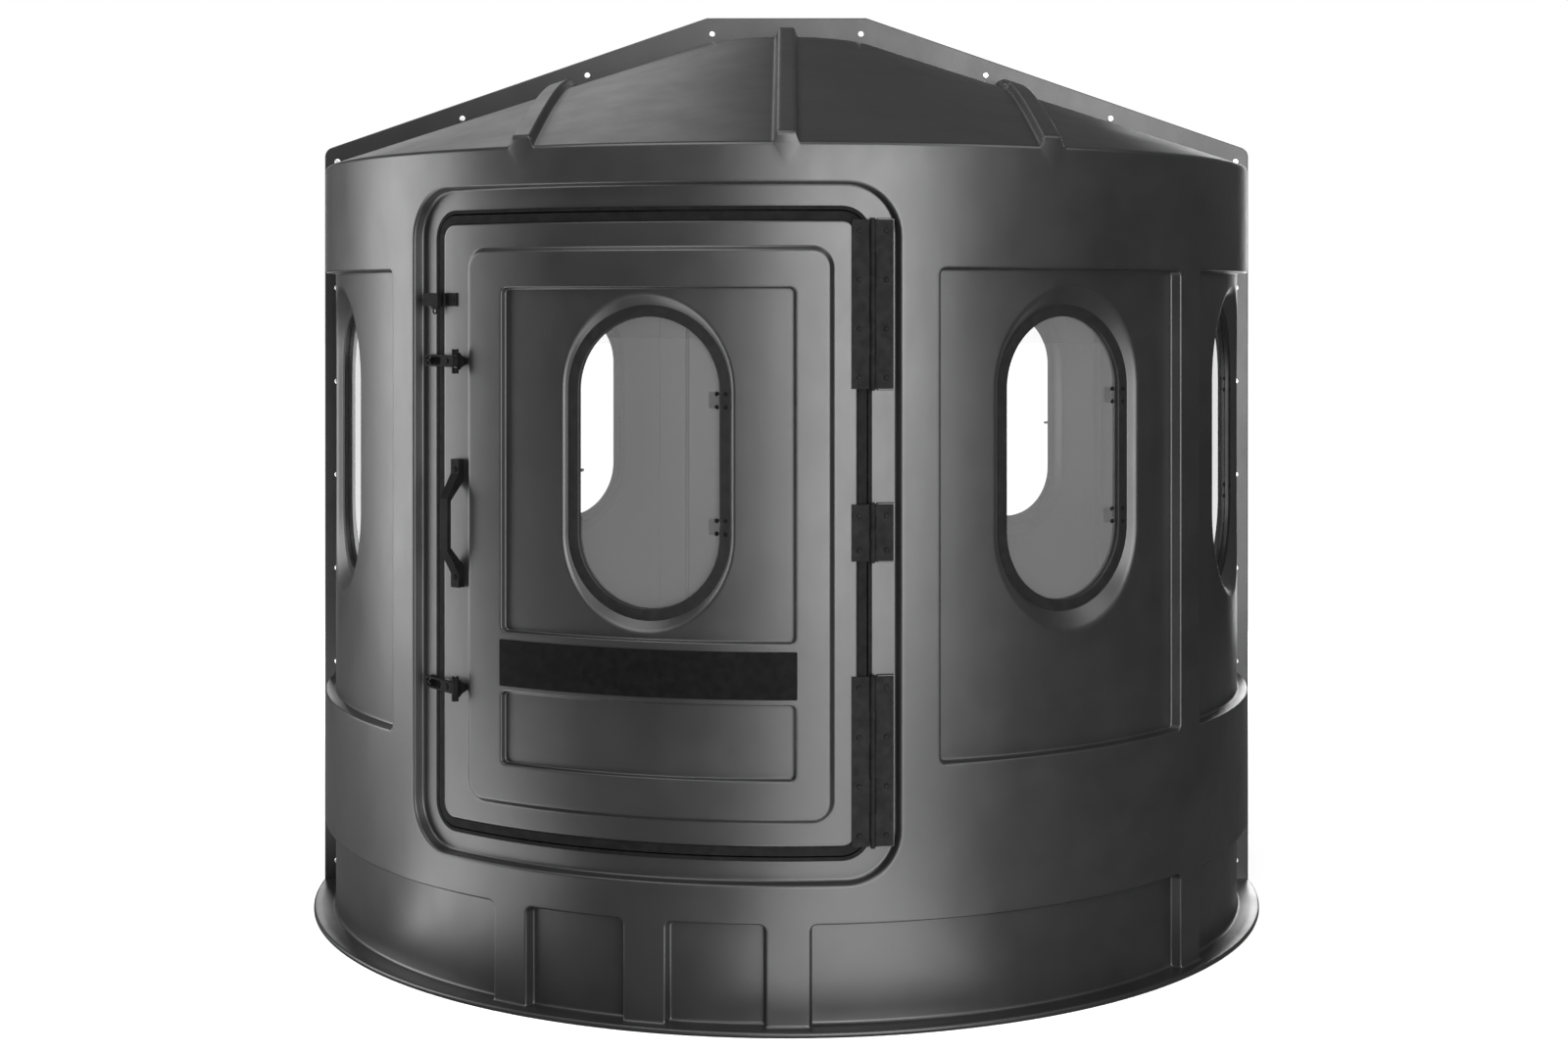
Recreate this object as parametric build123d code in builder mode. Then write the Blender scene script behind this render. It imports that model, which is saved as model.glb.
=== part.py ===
from build123d import *
import os
from math import ceil, cos, degrees, radians, sin, sqrt, tan

# Round two-piece blind cabin. Millimetres and degrees. The origin is the centre of the base, +Z is up and
# the door side faces -Y. An azimuth is measured from -Y, positive towards +X.

# ---- Cabin shell ----
band_radius = 1015.0          # outside of the raised wall bands
wall = 7.0                    # moulded wall
recess = 22.0                 # depth of the wall panels behind the bands
eave_height = 1594.0
roof_top_height = 1885.0
roof_top_radius = 173.0
rib_spacing = 490.0           # between the roof ribs
rib_width = 42.0
rib_height = 20.6
lip_reach = 24.5              # base lip stands out from the bands
lip_height = 10.0
ledge_width = 85.0            # base ring that carries the floor, in from the bands
pillar = 3.9                  # degrees between neighbouring panels
panel_corner = 16.0

# ---- Joining flange ----
flange_thickness = 8.0        # each half
flange_reach = 22.5           # stands out from the bands
flange_rise = 60.0            # stands above the roof
flange_flat_reach = 6.0       # its level top beyond the roof's level top, each side
flange_corner = 22.0
flange_hole_radius = 4.5
roof_bolt_first = 167.0       # X of the innermost roof bolt
roof_bolts_per_side = 4
roof_bolt_drop = 36.5         # below the flange's sloped edge
flange_bolt_edge = 29.0       # side bolts and outermost roof bolts in from the upright edge
side_bolt_low_margin = 29.5   # first side bolt from the window panel's lower end
side_bolt_high_margin = 34.3  # last side bolt from its upper end
side_bolts = 5
low_bolt_height = 52.0
flange_bolt_radius = 4.0
flange_bolt_head = 6.5
flange_bolt_head_height = 4.0
flange_nut_width = 13.0       # across flats
flange_nut_height = 6.5

# ---- Floor ----
floor_thickness = 18.0
floor_clearance = 2.0
floor_split = 1.0             # each half stays this far from the middle plane

# ---- Wall panels ----
window_panel_bottom = 470.0
window_panel_top = 1373.0
base_panel_top = 198.0
window_panels = {"front": [(-90.0, -48.9), (15.7, 49.4), (53.3, 90.0)],
                 "rear": [(90.0, 123.8), (127.7, 160.3), (164.2, 195.8), (199.7, 232.3), (236.2, 270.0)]}
base_panels = {"front": [(-90.0, -32.2), (-28.4, -16.7), (-12.6, -1.9), (2.2, 49.4), (53.3, 90.0)],
               "rear": [(90.0, 126.7), (130.6, 158.0), (162.0, 198.0), (202.0, 229.4), (233.3, 270.0)]}

# ---- Windows ----
windows = {"left": -70.3, "right": 32.6, "side": 70.3, "rear_right": 144.0, "rear_left": 216.0, "door": -14.9}
window_hosts = {"front": ["left", "right", "side"], "rear": ["rear_right", "rear_left"], "door": ["door"]}
window_height = 1015.0
opening_width = 269.0
opening_height = 532.0
seat_border = 21.5            # flat ring round the opening
seat_depth = 27.0             # ring plane below the wall panel
seat_taper = 50.0
door_seat_depth = 20.0        # ring plane below the door's sunk rectangle
door_seat_taper = 43.0
gasket_inset = 1.5
gasket_width = 6.5
gasket_thickness = 1.5
pane_thickness = 5.0
pane_overlap = 7.5
pane_gap = 0.3
hinge_gap = 1.0               # from the opening's straight edge in to the pane's hinged edge
window_pin_offset = 2.0       # pin axis beyond the opening's straight edge
window_knuckle_radius = 3.5
window_pin_radius = 1.6
window_bore_radius = 1.66
window_pin_drop = 2.7         # pin axis inside the pane's back
window_block_start = 6.5      # fixed leaf's block from the pin axis
window_block_end = 17.0
window_leaf_length = 26.0
window_hinge_height = 30.0
window_hinge_spacing = 229.0
window_leaf_thickness = 2.0
window_leaf_start = 5.0       # moving leaf from the pin axis
window_block_depth = 3.0      # fixed leaf's block inside the pin axis
window_screw_spacing = 19.0   # across the hinge
window_screw_pitch = 24.0     # along the hinge
window_screw_radius = 1.5
window_screw_head = 4.2
window_screw_head_height = 2.0
pull_beyond = 4.2             # pull's middle beyond the opening's left edge, on the pane's margin
pull_drop = 18.0              # below the window's middle
pull_radius = 3.0
pull_stem_radius = 1.2
pull_stem_depth = 3.0         # in the pane
pull_length = 18.0

# ---- Door opening and door ----
door_recess_span = (-45.1, 11.9)
door_recess_bottom = 260.0
door_recess_top = 1527.0
door_recess_corner = 100.0
door_span = (-42.3, 8.9)      # opening in the shell
door_bottom = 303.0
door_top = 1481.0
door_corner = 55.0
trim_width = 7.0
trim_stand = 2.0              # trim stands out from the land
trim_depth = 11.0
door_gap = 3.0                # between trim and door edge
seal_width = 16.0
seal_thickness = 6.0
seal_rise = 3.0               # seal's face outside the land
seal_overhang = 3.0
door_rise = 6.0               # door face outside the land
door_depth = 25.0
field_rise = 9.0              # raised inner field
field_span = (-36.9, 5.05)
field_bottom = 370.0
field_top = 1411.0
field_corner = 42.0
sunk_span = (-31.9, 1.1)
sunk_depth = 12.0
sunk_corner = 14.0
sunk_reach = 322.0            # upper sunk rectangle above and below the window's middle
label_drop = 55.0             # label's middle below the upper sunk rectangle
label_height = 86.0
label_thickness = 1.2
label_gap = 0.3               # clear of the curved field it lies on
label_corner = 2.0
sunk_lower_drop = 50.0        # lower sunk rectangle below the label's middle
sunk_lower_height = 141.0

# ---- Door hinges ----
pin_rise = 10.0               # hinge pin axis outside the land
leaf_drop = 0.5               # a leaf's outer face below the pin axis
hinge_pin_radius = 2.95
hinge_bore_radius = 3.0
knuckle_radius = 5.5
knuckle_gap = 0.4
leaf_thickness = 3.0
leaf_width = 38.0             # from the pin axis
leaf_clear = 6.3              # plate to pin axis where the other leaf has its knuckle
bolt_line = 24.8              # bolts from the pin axis
bolt_inset = 20.0             # first and last bolt from a leaf's ends
door_hinges = {"upper": (1151.5, 1456.0), "middle": (841.6, 943.7), "lower": (329.0, 634.5)}
hinge_bolt_spacing = 90.0     # at most, along a leaf
hinge_bolt_radius = 2.4
hinge_bolt_head = 4.6
hinge_bolt_head_height = 2.6
knuckles_per_hinge = 5
hinge_bolt_depth = 16.0       # below a leaf's outer face
hinge_pad_margin = 3.0
frame_pad_start = 8.0         # frame pads from the pin axis
door_pad_clearance = 0.5      # door pads from the seal
bolt_clearance = 0.1
seal_hole_clearance = 0.6     # seal round the hinge bolts

# ---- Door handle ----
handle_azimuth = -38.2
handle_bottom = 769.0
handle_top = 1011.0
handle_width = 21.0
handle_foot = 38.0            # foot's length on the door
handle_foot_flat = 27.0       # flat top of the foot
handle_foot_height = 13.0
handle_grip = 97.0            # straight part of the grip
handle_stand = 41.5
handle_bar = 9.0              # thickness of the grip
handle_edge = 3.0
handle_screw_inset = 19.5
handle_screw_radius = 3.0
handle_screw_head = 5.2
handle_screw_head_height = 3.0

# ---- T latches ----
latches = {"upper": 1196.0, "lower": 581.0}
latch_azimuth = -37.4         # barrel
latch_post_azimuth = -42.8
latch_barrel_radius = 6.5
latch_barrel_height = 46.0
latch_barrel_rise = 25.0      # barrel axis outside the door face
latch_base_gap = 0.4
latch_neck_foot = 8.0         # neck's height on the door
latch_neck_top = 22.0         # neck's height where its arms part
latch_neck_part = 12.0        # where the arms part, from the barrel's axis
latch_fork_height = 32.0      # over both arms
latch_fork_start = 8.0        # full height of the arms, from the barrel's axis
latch_neck_width = 10.0
latch_pin_radius = 2.5
latch_bore_radius = 2.58
latch_strap_height = 22.0
latch_strap_thickness = 6.0
latch_strap_drop = 2.0        # strap's middle plane inside the barrel axis
latch_strap_stand = 12.0      # line from the barrel's axis meets the post this far over the land
latch_strap_beyond = 16.0     # strap beyond the post
latch_slot_height = 15.0
latch_slot_length = 57.0
latch_slot_beyond = 11.0      # slot beyond the post's axis
latch_rivet_radius = 6.0
latch_rivet_from_barrel = 30.0
latch_post_radius = 4.0
latch_post_stand = 15.0
latch_plate_width = 16.0
latch_plate_thickness = 3.0

# ---- Hasp ----
hasp_rise = 116.0             # above the upper latch
hasp_azimuth = -40.3          # hinge pin
hasp_width = 25.0
hasp_pin_rise = 5.5           # outside the door face
hasp_pin_radius = 1.6
hasp_bore_radius = 1.66
hasp_knuckle_radius = 4.0
hasp_leaf_length = 30.0
hasp_leaf_thickness = 2.5
hasp_plate_length = 48.5
hasp_cap_length = 42.5
hasp_cap_depth = 13.0
hasp_cap_wall = 3.0
staple_azimuth = -42.5
staple_size = 6.0
staple_height = 12.0
staple_stand = 16.0
staple_base = 20.0
staple_base_thickness = 2.5
eye_radius = 5.0
eye_rod = 1.6
eye_from_pin = 21.0
eye_neck_width = 18.0
eye_neck_height = 5.0
hasp_leaf_start = 5.0         # leaf and plate from the pin axis
hasp_screw_from_pin = 22.0
hasp_screw_head_height = 2.0
hasp_screw_head = 3.6
hasp_screw_radius = 1.8

# ---- Shared by several pieces ----
joint_overlap = 1.0           # solids of one piece run into each other
bolt_head_taper = 25.0        # degrees
screw_head_taper = 20.0       # degrees
half_turn = 180.0
quarter_turn = half_turn / 2

# ---- Values that follow ----
land_radius = band_radius - recess
cavity_radius = band_radius - wall
roof_slope = (roof_top_height - eave_height) / (band_radius - roof_top_radius)
roof_drop = wall * sqrt(1 + roof_slope**2)
face_radius = land_radius + door_rise
field_radius = face_radius + field_rise
sunk_radius = field_radius - sunk_depth
rim_radius = land_radius + seal_rise - seal_thickness
door_inner_radius = face_radius - door_depth
edge_inset = trim_width + door_gap
rim_inset = edge_inset + seal_overhang
face_inset = edge_inset + seal_width
hinge_azimuth = door_span[1]
pin_radius_from_axis = land_radius + pin_rise
leaf_seat = pin_radius_from_axis - leaf_drop - leaf_thickness
leaf_face = leaf_seat + leaf_thickness
seat_width = opening_width + 2 * seat_border
seat_height = opening_height + 2 * seat_border
latch_axis = face_radius + latch_barrel_rise
hasp_axis = face_radius + hasp_pin_rise
hasp_height = latches["upper"] + hasp_rise
ledge_radius = band_radius - ledge_width
flange_half_width = band_radius + flange_reach
flange_flat_half_width = roof_top_radius + flange_flat_reach
flange_top = roof_top_height + flange_rise
side_bolt_x = flange_half_width - flange_bolt_edge
roof_bolt_pitch = (side_bolt_x - roof_bolt_first) / (roof_bolts_per_side - 1)
side_bolt_bottom = window_panel_bottom + side_bolt_low_margin
side_bolt_top = window_panel_top - side_bolt_high_margin
side_bolt_pitch = (side_bolt_top - side_bolt_bottom) / (side_bolts - 1)
sunk_upper = (window_height - sunk_reach, window_height + sunk_reach)
label_middle = sunk_upper[0] - label_drop
sunk_lower_top = label_middle - sunk_lower_drop
sunk_lower = (sunk_lower_top - sunk_lower_height, sunk_lower_top)
far = 2 * flange_half_width

os.makedirs("parts", exist_ok=True)


def outward(azimuth):
    return Vector(sin(radians(azimuth)), -cos(radians(azimuth)), 0)


def rightward(azimuth):
    """Level direction to the right, seen from outside."""
    return Vector(cos(radians(azimuth)), sin(radians(azimuth)), 0)


def section_plane(azimuth):
    """Upright plane through the cabin's axis: X outward, Y up."""
    return Plane(origin=(0, 0, 0), x_dir=outward(azimuth), z_dir=rightward(azimuth) * -1)


def wall_plane(azimuth, distance, height=0.0):
    """Plane square to an azimuth: X to the right seen from outside, Y up, Z outward."""
    place = outward(azimuth) * distance + Vector(0, 0, height)
    return Plane(origin=place, x_dir=rightward(azimuth), z_dir=outward(azimuth))


def plan_plane(azimuth, distance, height):
    """Level plane at a place on the wall: X to the right, Y inward, Z up."""
    place = outward(azimuth) * distance + Vector(0, 0, height)
    return Plane(origin=place, x_dir=rightward(azimuth), z_dir=(0, 0, 1))


def grown(span, length):
    """A span of azimuths made longer at each end by a length along the land."""
    step = degrees(length / land_radius)
    return (span[0] - step, span[1] + step)


def curved_block(span, bottom, top, inner, outer, corner=0.0):
    """Piece of a ring between two azimuths, two heights and two radii."""
    with BuildPart() as block:
        with BuildSketch(section_plane(span[0])):
            with Locations(((inner + outer) / 2, (bottom + top) / 2)):
                Rectangle(outer - inner, top - bottom)
        revolve(axis=Axis.Z, revolution_arc=span[1] - span[0])
        if corner > 0:
            corners = block.edges().filter_by(GeomType.LINE).filter_by(Axis.Z, reverse=True)
            fillet(corners, corner)
    return block.part


def door_block(inset, inner, outer):
    """Block with the door opening's outline, inset by a length all round."""
    span, corner = grown(door_span, -inset), door_corner - inset
    return curved_block(span, door_bottom + inset, door_top - inset, inner, outer, corner)


def drum(reach, lift, flat_lift, base, start):
    """Half drum with a cone roof, cut level at its top. The lifts raise the cone and its flat top."""
    top = roof_top_height + flat_lift
    top_radius = band_radius - (top - eave_height - lift) / roof_slope
    rim = eave_height + lift + (band_radius - reach) * roof_slope
    with BuildPart() as body:
        with BuildSketch(section_plane(start)):
            with BuildLine():
                Polyline((0, base), (reach, base), (reach, rim), (top_radius, top), (0, top), close=True)
            make_face()
        revolve(axis=Axis.Z, revolution_arc=half_turn)
    return body.part


def roof_ribs(width, reach, lift, flat_lift, start):
    """Three parallel ribs: slices of a raised roof."""
    with BuildPart() as ribs:
        add(drum(reach, lift, flat_lift, eave_height - recess, start))
        with Locations([(x, 0, eave_height) for x in (-rib_spacing, 0, rib_spacing)]):
            Box(width, far, far, mode=Mode.INTERSECT)
    return ribs.part


def stadium_loft(azimuth, distance, width, height, length, taper):
    """Upright stadium that widens outward from a plane at a distance from the axis."""
    spread = 2 * length * tan(radians(taper))
    with BuildPart() as loft_body:
        with BuildSketch(wall_plane(azimuth, distance, window_height)):
            SlotOverall(height, width, rotation=90)
        with BuildSketch(wall_plane(azimuth, distance + length, window_height)):
            SlotOverall(height + spread, width + spread, rotation=90)
        loft(ruled=True)
    return loft_body.part


def window_seat(name):
    """Distance from the axis to the window's ring plane."""
    return sunk_radius - door_seat_depth if name == "door" else land_radius - seat_depth


def seat_border_shape(name):
    """How deep the ring lies, and the slope of its bevelled border."""
    return (door_seat_depth, door_seat_taper) if name == "door" else (seat_depth, seat_taper)


def seat_cut(name):
    """Window recess: a flat ring seat with a bevelled border."""
    depth, taper = seat_border_shape(name)
    return stadium_loft(windows[name], window_seat(name), seat_width, seat_height, 2 * depth, taper)


def seat_back(name):
    """The same shape one wall further in and out, which the wall behind the seat fills."""
    depth, taper = seat_border_shape(name)
    width, height = seat_width + 2 * wall, seat_height + 2 * wall
    return stadium_loft(windows[name], window_seat(name) - wall, width, height, 2 * depth + wall, taper)


def opening_cut(name):
    with BuildPart() as cut:
        with BuildSketch(wall_plane(windows[name], window_seat(name) - 2 * wall, window_height)):
            SlotOverall(opening_height, opening_width, rotation=90)
        extrude(amount=2 * wall + 2 * seat_depth)
    return cut.part


def flange_edge_height(x):
    """Height of the flange's upper edge, which runs with the roof's slope."""
    return flange_top - roof_slope * max(0.0, x - flange_flat_half_width)


def joining_flange(side):
    """Upright plate on the middle plane: side is 1 for the front half and -1 for the rear."""
    shoulder = flange_edge_height(flange_half_width)
    with BuildPart() as flange:
        with BuildSketch(Plane.XZ) as outline:
            with BuildLine():
                Polyline(
                    (-flange_half_width, 0),
                    (flange_half_width, 0),
                    (flange_half_width, shoulder),
                    (flange_flat_half_width, flange_top),
                    (-flange_flat_half_width, flange_top),
                    (-flange_half_width, shoulder),
                    close=True,
                )
            make_face()
            fillet(outline.vertices().group_by(Axis.Y)[1], flange_corner)
        extrude(amount=side * flange_thickness)
    return flange.part


def flange_bolt_places():
    """X and Z of the flange bolts: along both roof slopes and down both sides."""
    places = []
    for side in (-1, 1):
        for i in range(roof_bolts_per_side):
            x = roof_bolt_first + i * roof_bolt_pitch
            places.append((side * x, flange_edge_height(x) - roof_bolt_drop))
        places += [(side * side_bolt_x, side_bolt_bottom + i * side_bolt_pitch) for i in range(side_bolts)]
        places.append((side * side_bolt_x, low_bolt_height))
    return places


def hinge_bolt_heights(hinge):
    bottom, top = door_hinges[hinge]
    length = top - bottom - 2 * bolt_inset
    steps = ceil(length / hinge_bolt_spacing)
    return [bottom + bolt_inset + i * length / steps for i in range(steps + 1)]


def hinge_bolt_places(side):
    """Places of one side's hinge bolts on the leaf plane."""
    return [(side * bolt_line, z) for hinge in door_hinges for z in hinge_bolt_heights(hinge)]


def round_bars(plane, places, radius, length):
    """Round bars that stand on a plane at the given places."""
    with BuildPart() as bars:
        with BuildSketch(plane):
            with Locations(places):
                Circle(radius)
        extrude(amount=length)
    return bars.part


def hinge_pads(side, foot, start):
    """Flat pads under the hinge leaves: side is 1 on the shell and -1 on the door, inside its face."""
    with BuildPart() as pads:
        for bottom, top in door_hinges.values():
            width = leaf_width + hinge_pad_margin - start
            height = top - bottom + 2 * hinge_pad_margin
            with BuildSketch(wall_plane(hinge_azimuth, foot)):
                with Locations((side * (start + width / 2), (bottom + top) / 2)):
                    Rectangle(width, height)
            extrude(amount=leaf_seat - foot)
        if side < 0:
            add(door_block(face_inset, ledge_radius, far), mode=Mode.INTERSECT)
    return pads.part


def shell_half(half):
    """One moulded half: wall with panels, half roof with ribs, flange, base lip and floor ledge."""
    side = 1 if half == "front" else -1
    start = -side * quarter_turn
    panels = [(span, window_panel_bottom, window_panel_top, panel_corner) for span in window_panels[half]]
    panels += [(span, lip_height - panel_corner, base_panel_top, panel_corner) for span in base_panels[half]]
    if half == "front":
        panels.append((door_recess_span, door_recess_bottom, door_recess_top, door_recess_corner))
    pockets = [curved_block(span, low, high, land_radius, far, r) for span, low, high, r in panels]
    backs = [
        curved_block(grown(span, wall), low - wall, high + wall, land_radius - wall, far, r + wall)
        for span, low, high, r in panels
    ]
    hosted = window_hosts[half]
    with BuildPart() as cavity:
        add(drum(cavity_radius, -roof_drop, -wall, lip_height, start))
        add(roof_ribs(rib_width - 2 * wall, cavity_radius, rib_height - roof_drop, rib_height - wall, start))
        add(backs + [seat_back(name) for name in hosted], mode=Mode.SUBTRACT)
    lip = curved_block((start, start + half_turn), 0, lip_height, ledge_radius, band_radius + lip_reach)
    holes = round_bars(Plane.XZ.offset(-far), flange_bolt_places(), flange_hole_radius, 2 * far)
    with BuildPart() as shell:
        add(drum(band_radius, 0, 0, 0, start))
        add(roof_ribs(rib_width, band_radius, rib_height, rib_height, start))
        add(pockets, mode=Mode.SUBTRACT)
        add([seat_cut(name) for name in hosted], mode=Mode.SUBTRACT)
        add(joining_flange(side))
        add(cavity.part, mode=Mode.SUBTRACT)
        add(lip)
        with Locations((0, 0, lip_height / 2)):
            Cylinder(ledge_radius, 2 * lip_height, mode=Mode.SUBTRACT)
        add([opening_cut(name) for name in hosted], mode=Mode.SUBTRACT)
        add([window_bores(name) for name in hosted], mode=Mode.SUBTRACT)
        if half == "front":
            add(hinge_pads(1, land_radius - wall / 2, frame_pad_start))
            add(door_block(0, ledge_radius, far), mode=Mode.SUBTRACT)
            bores = wall_plane(hinge_azimuth, leaf_seat - 3 * hinge_bolt_depth)
            radius = hinge_bolt_radius + bolt_clearance
            add(round_bars(bores, hinge_bolt_places(1), radius, 3 * hinge_bolt_depth), mode=Mode.SUBTRACT)
        add(holes, mode=Mode.SUBTRACT)
    return shell.part


def floor_half(half):
    """Half of the floor board, which lies on the base ledge."""
    start = -quarter_turn if half == "front" else quarter_turn
    reach = land_radius - wall - floor_clearance
    with BuildPart() as board:
        add(curved_block((start, start + half_turn), lip_height, lip_height + floor_thickness, 0, reach))
        with Locations((0, 0, lip_height + floor_thickness / 2)):
            Box(far, 2 * floor_split, 2 * floor_thickness, mode=Mode.SUBTRACT)
    return board.part


def flange_bolts():
    """Round-headed bolts through both flanges, heads on the door side."""
    grip = 2 * flange_thickness + flange_nut_height
    with BuildPart() as bolts:
        with BuildSketch(Plane.XZ.offset(-flange_thickness - flange_nut_height)):
            with Locations(flange_bolt_places()):
                Circle(flange_bolt_radius)
        extrude(amount=grip)
        with BuildSketch(Plane.XZ.offset(flange_thickness)):
            with Locations(flange_bolt_places()):
                Circle(flange_bolt_head)
        extrude(amount=flange_bolt_head_height)
        heads = bolts.edges().filter_by(GeomType.CIRCLE).group_by(Axis.Y)[0]
        fillet(heads, flange_bolt_head_height / 2)
    return bolts.part


def flange_nuts():
    with BuildPart() as nuts:
        with BuildSketch(Plane.XZ.offset(-flange_thickness - flange_nut_height)):
            with Locations(flange_bolt_places()):
                RegularPolygon(flange_nut_width / 2, 6, major_radius=False)
                Circle(flange_bolt_radius, mode=Mode.SUBTRACT)
        extrude(amount=flange_nut_height)
    return nuts.part


def door_panel():
    """Moulded door: rim under the seal, face, raised field with two sunk rectangles, window seat."""
    depth = face_radius - door_inner_radius
    upper = (*sunk_upper, sunk_corner)
    lower = (*sunk_lower, sunk_corner)
    sunk = [curved_block(sunk_span, low, high, sunk_radius, far, r) for low, high, r in (upper, lower)]
    sunk_backs = [
        curved_block(grown(sunk_span, wall), low - wall, high + wall, sunk_radius - wall, far, r + wall)
        for low, high, r in (upper, lower)
    ]
    field = curved_block(field_span, field_bottom, field_top, face_radius - wall, field_radius, field_corner)
    field_back = curved_block(
        grown(field_span, -wall),
        field_bottom + wall,
        field_top - wall,
        door_inner_radius - wall,
        field_radius - wall,
        field_corner - wall,
    )
    back_trim = curved_block(door_span, door_bottom, door_top, ledge_radius, field_radius - wall)
    with BuildPart() as boss:
        add(seat_back("door"))
        add(back_trim, mode=Mode.INTERSECT)
    with BuildPart() as hollow:
        add(door_block(face_inset + wall, door_inner_radius - depth, face_radius - wall))
        add(field_back)
        add(sunk_backs + [boss.part], mode=Mode.SUBTRACT)
    bores = wall_plane(hinge_azimuth, leaf_face - hinge_bolt_depth - joint_overlap)
    bore_radius = hinge_bolt_radius + bolt_clearance
    holes = round_bars(bores, hinge_bolt_places(-1), bore_radius, 2 * hinge_bolt_depth)
    with BuildPart() as panel:
        add(door_block(rim_inset, door_inner_radius, rim_radius))
        add(door_block(face_inset, rim_radius - joint_overlap, face_radius))
        add(field)
        add(hollow.part, mode=Mode.SUBTRACT)
        add(boss.part)
        add(sunk, mode=Mode.SUBTRACT)
        add(seat_cut("door"), mode=Mode.SUBTRACT)
        add(opening_cut("door"), mode=Mode.SUBTRACT)
        add(window_bores("door"), mode=Mode.SUBTRACT)
        add(hinge_pads(-1, face_radius - wall / 2, face_inset + door_pad_clearance))
        add(holes, mode=Mode.SUBTRACT)
        add(handle_bores(), mode=Mode.SUBTRACT)
        add(hasp_screw_bore(), mode=Mode.SUBTRACT)
    return panel.part


def door_seal():
    """Rubber band round the door face, with a skirt down the door's edge."""
    outer_face = rim_radius + seal_thickness
    bores = wall_plane(hinge_azimuth, door_inner_radius)
    hole_radius = hinge_bolt_radius + seal_hole_clearance
    holes = round_bars(bores, hinge_bolt_places(-1), hole_radius, door_depth)
    with BuildPart() as seal:
        add(door_block(edge_inset, door_inner_radius + seal_overhang, outer_face))
        add(door_block(rim_inset, ledge_radius, rim_radius), mode=Mode.SUBTRACT)
        add(door_block(face_inset, ledge_radius, far), mode=Mode.SUBTRACT)
        add(holes, mode=Mode.SUBTRACT)
    return seal.part


def door_trim():
    """Rubber edging round the door opening."""
    outer_face = land_radius + trim_stand
    with BuildPart() as trim:
        add(door_block(0, outer_face - trim_depth, outer_face))
        add(door_block(trim_width, ledge_radius, far), mode=Mode.SUBTRACT)
    return trim.part


def label_strip():
    """Bare strip across the door, below the window."""
    low = label_middle - label_height / 2
    inner = field_radius + label_gap
    return curved_block(sunk_span, low, low + label_height, inner, inner + label_thickness, label_corner)


def hinge_leaf(hinge, side):
    """Hinge leaf with its knuckles: side is 1 on the frame and -1 on the door."""
    bottom, top = door_hinges[hinge]
    plate_y = leaf_drop + leaf_thickness / 2
    pitch = (top - bottom) / knuckles_per_hinge
    with BuildPart() as leaf:
        with BuildSketch(plan_plane(hinge_azimuth, pin_radius_from_axis, bottom)):
            with Locations((side * (leaf_clear + leaf_width) / 2, plate_y)):
                Rectangle(leaf_width - leaf_clear, leaf_thickness)
        extrude(amount=top - bottom)
        for i in range(0 if side > 0 else 1, knuckles_per_hinge, 2):
            low = bottom + i * pitch + (knuckle_gap / 2 if i > 0 else 0)
            high = bottom + (i + 1) * pitch - (knuckle_gap / 2 if i < knuckles_per_hinge - 1 else 0)
            with BuildSketch(plan_plane(hinge_azimuth, pin_radius_from_axis, low)):
                Circle(knuckle_radius)
                with Locations((side * leaf_clear / 2, plate_y)):
                    Rectangle(leaf_clear + joint_overlap, leaf_thickness)
                Circle(hinge_bore_radius, mode=Mode.SUBTRACT)
            extrude(amount=high - low)
        with BuildSketch(wall_plane(hinge_azimuth, leaf_seat)):
            with Locations([(side * bolt_line, z) for z in hinge_bolt_heights(hinge)]):
                Circle(hinge_bolt_radius + bolt_clearance)
        extrude(amount=leaf_thickness, mode=Mode.SUBTRACT)
    return leaf.part


def hinge_pin(hinge):
    bottom, top = door_hinges[hinge]
    cap = leaf_thickness
    with BuildPart() as pin:
        with BuildSketch(plan_plane(hinge_azimuth, pin_radius_from_axis, bottom - cap)):
            Circle(hinge_pin_radius)
        extrude(amount=top - bottom + 2 * cap)
        for low in (bottom - cap, top):
            with BuildSketch(plan_plane(hinge_azimuth, pin_radius_from_axis, low)):
                Circle((hinge_pin_radius + knuckle_radius) / 2)
            extrude(amount=cap)
    return pin.part


def hinge_bolts(side):
    """Domed bolts of all three hinges on one side."""
    foot = wall_plane(hinge_azimuth, leaf_face - hinge_bolt_depth)
    with BuildPart() as bolts:
        add(round_bars(foot, hinge_bolt_places(side), hinge_bolt_radius, hinge_bolt_depth))
        with BuildSketch(wall_plane(hinge_azimuth, leaf_face)):
            with Locations(hinge_bolt_places(side)):
                Circle(hinge_bolt_head)
        extrude(amount=hinge_bolt_head_height, taper=bolt_head_taper)
    return bolts.part


def handle_screw_heights():
    return (handle_bottom + handle_screw_inset, handle_top - handle_screw_inset)


def handle_bores():
    """Holes for the handle's screws."""
    places = [(0, z) for z in handle_screw_heights()]
    depth = face_radius - door_inner_radius
    radius = handle_screw_radius + bolt_clearance
    return round_bars(wall_plane(handle_azimuth, door_inner_radius), places, radius, depth + handle_stand)


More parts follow.
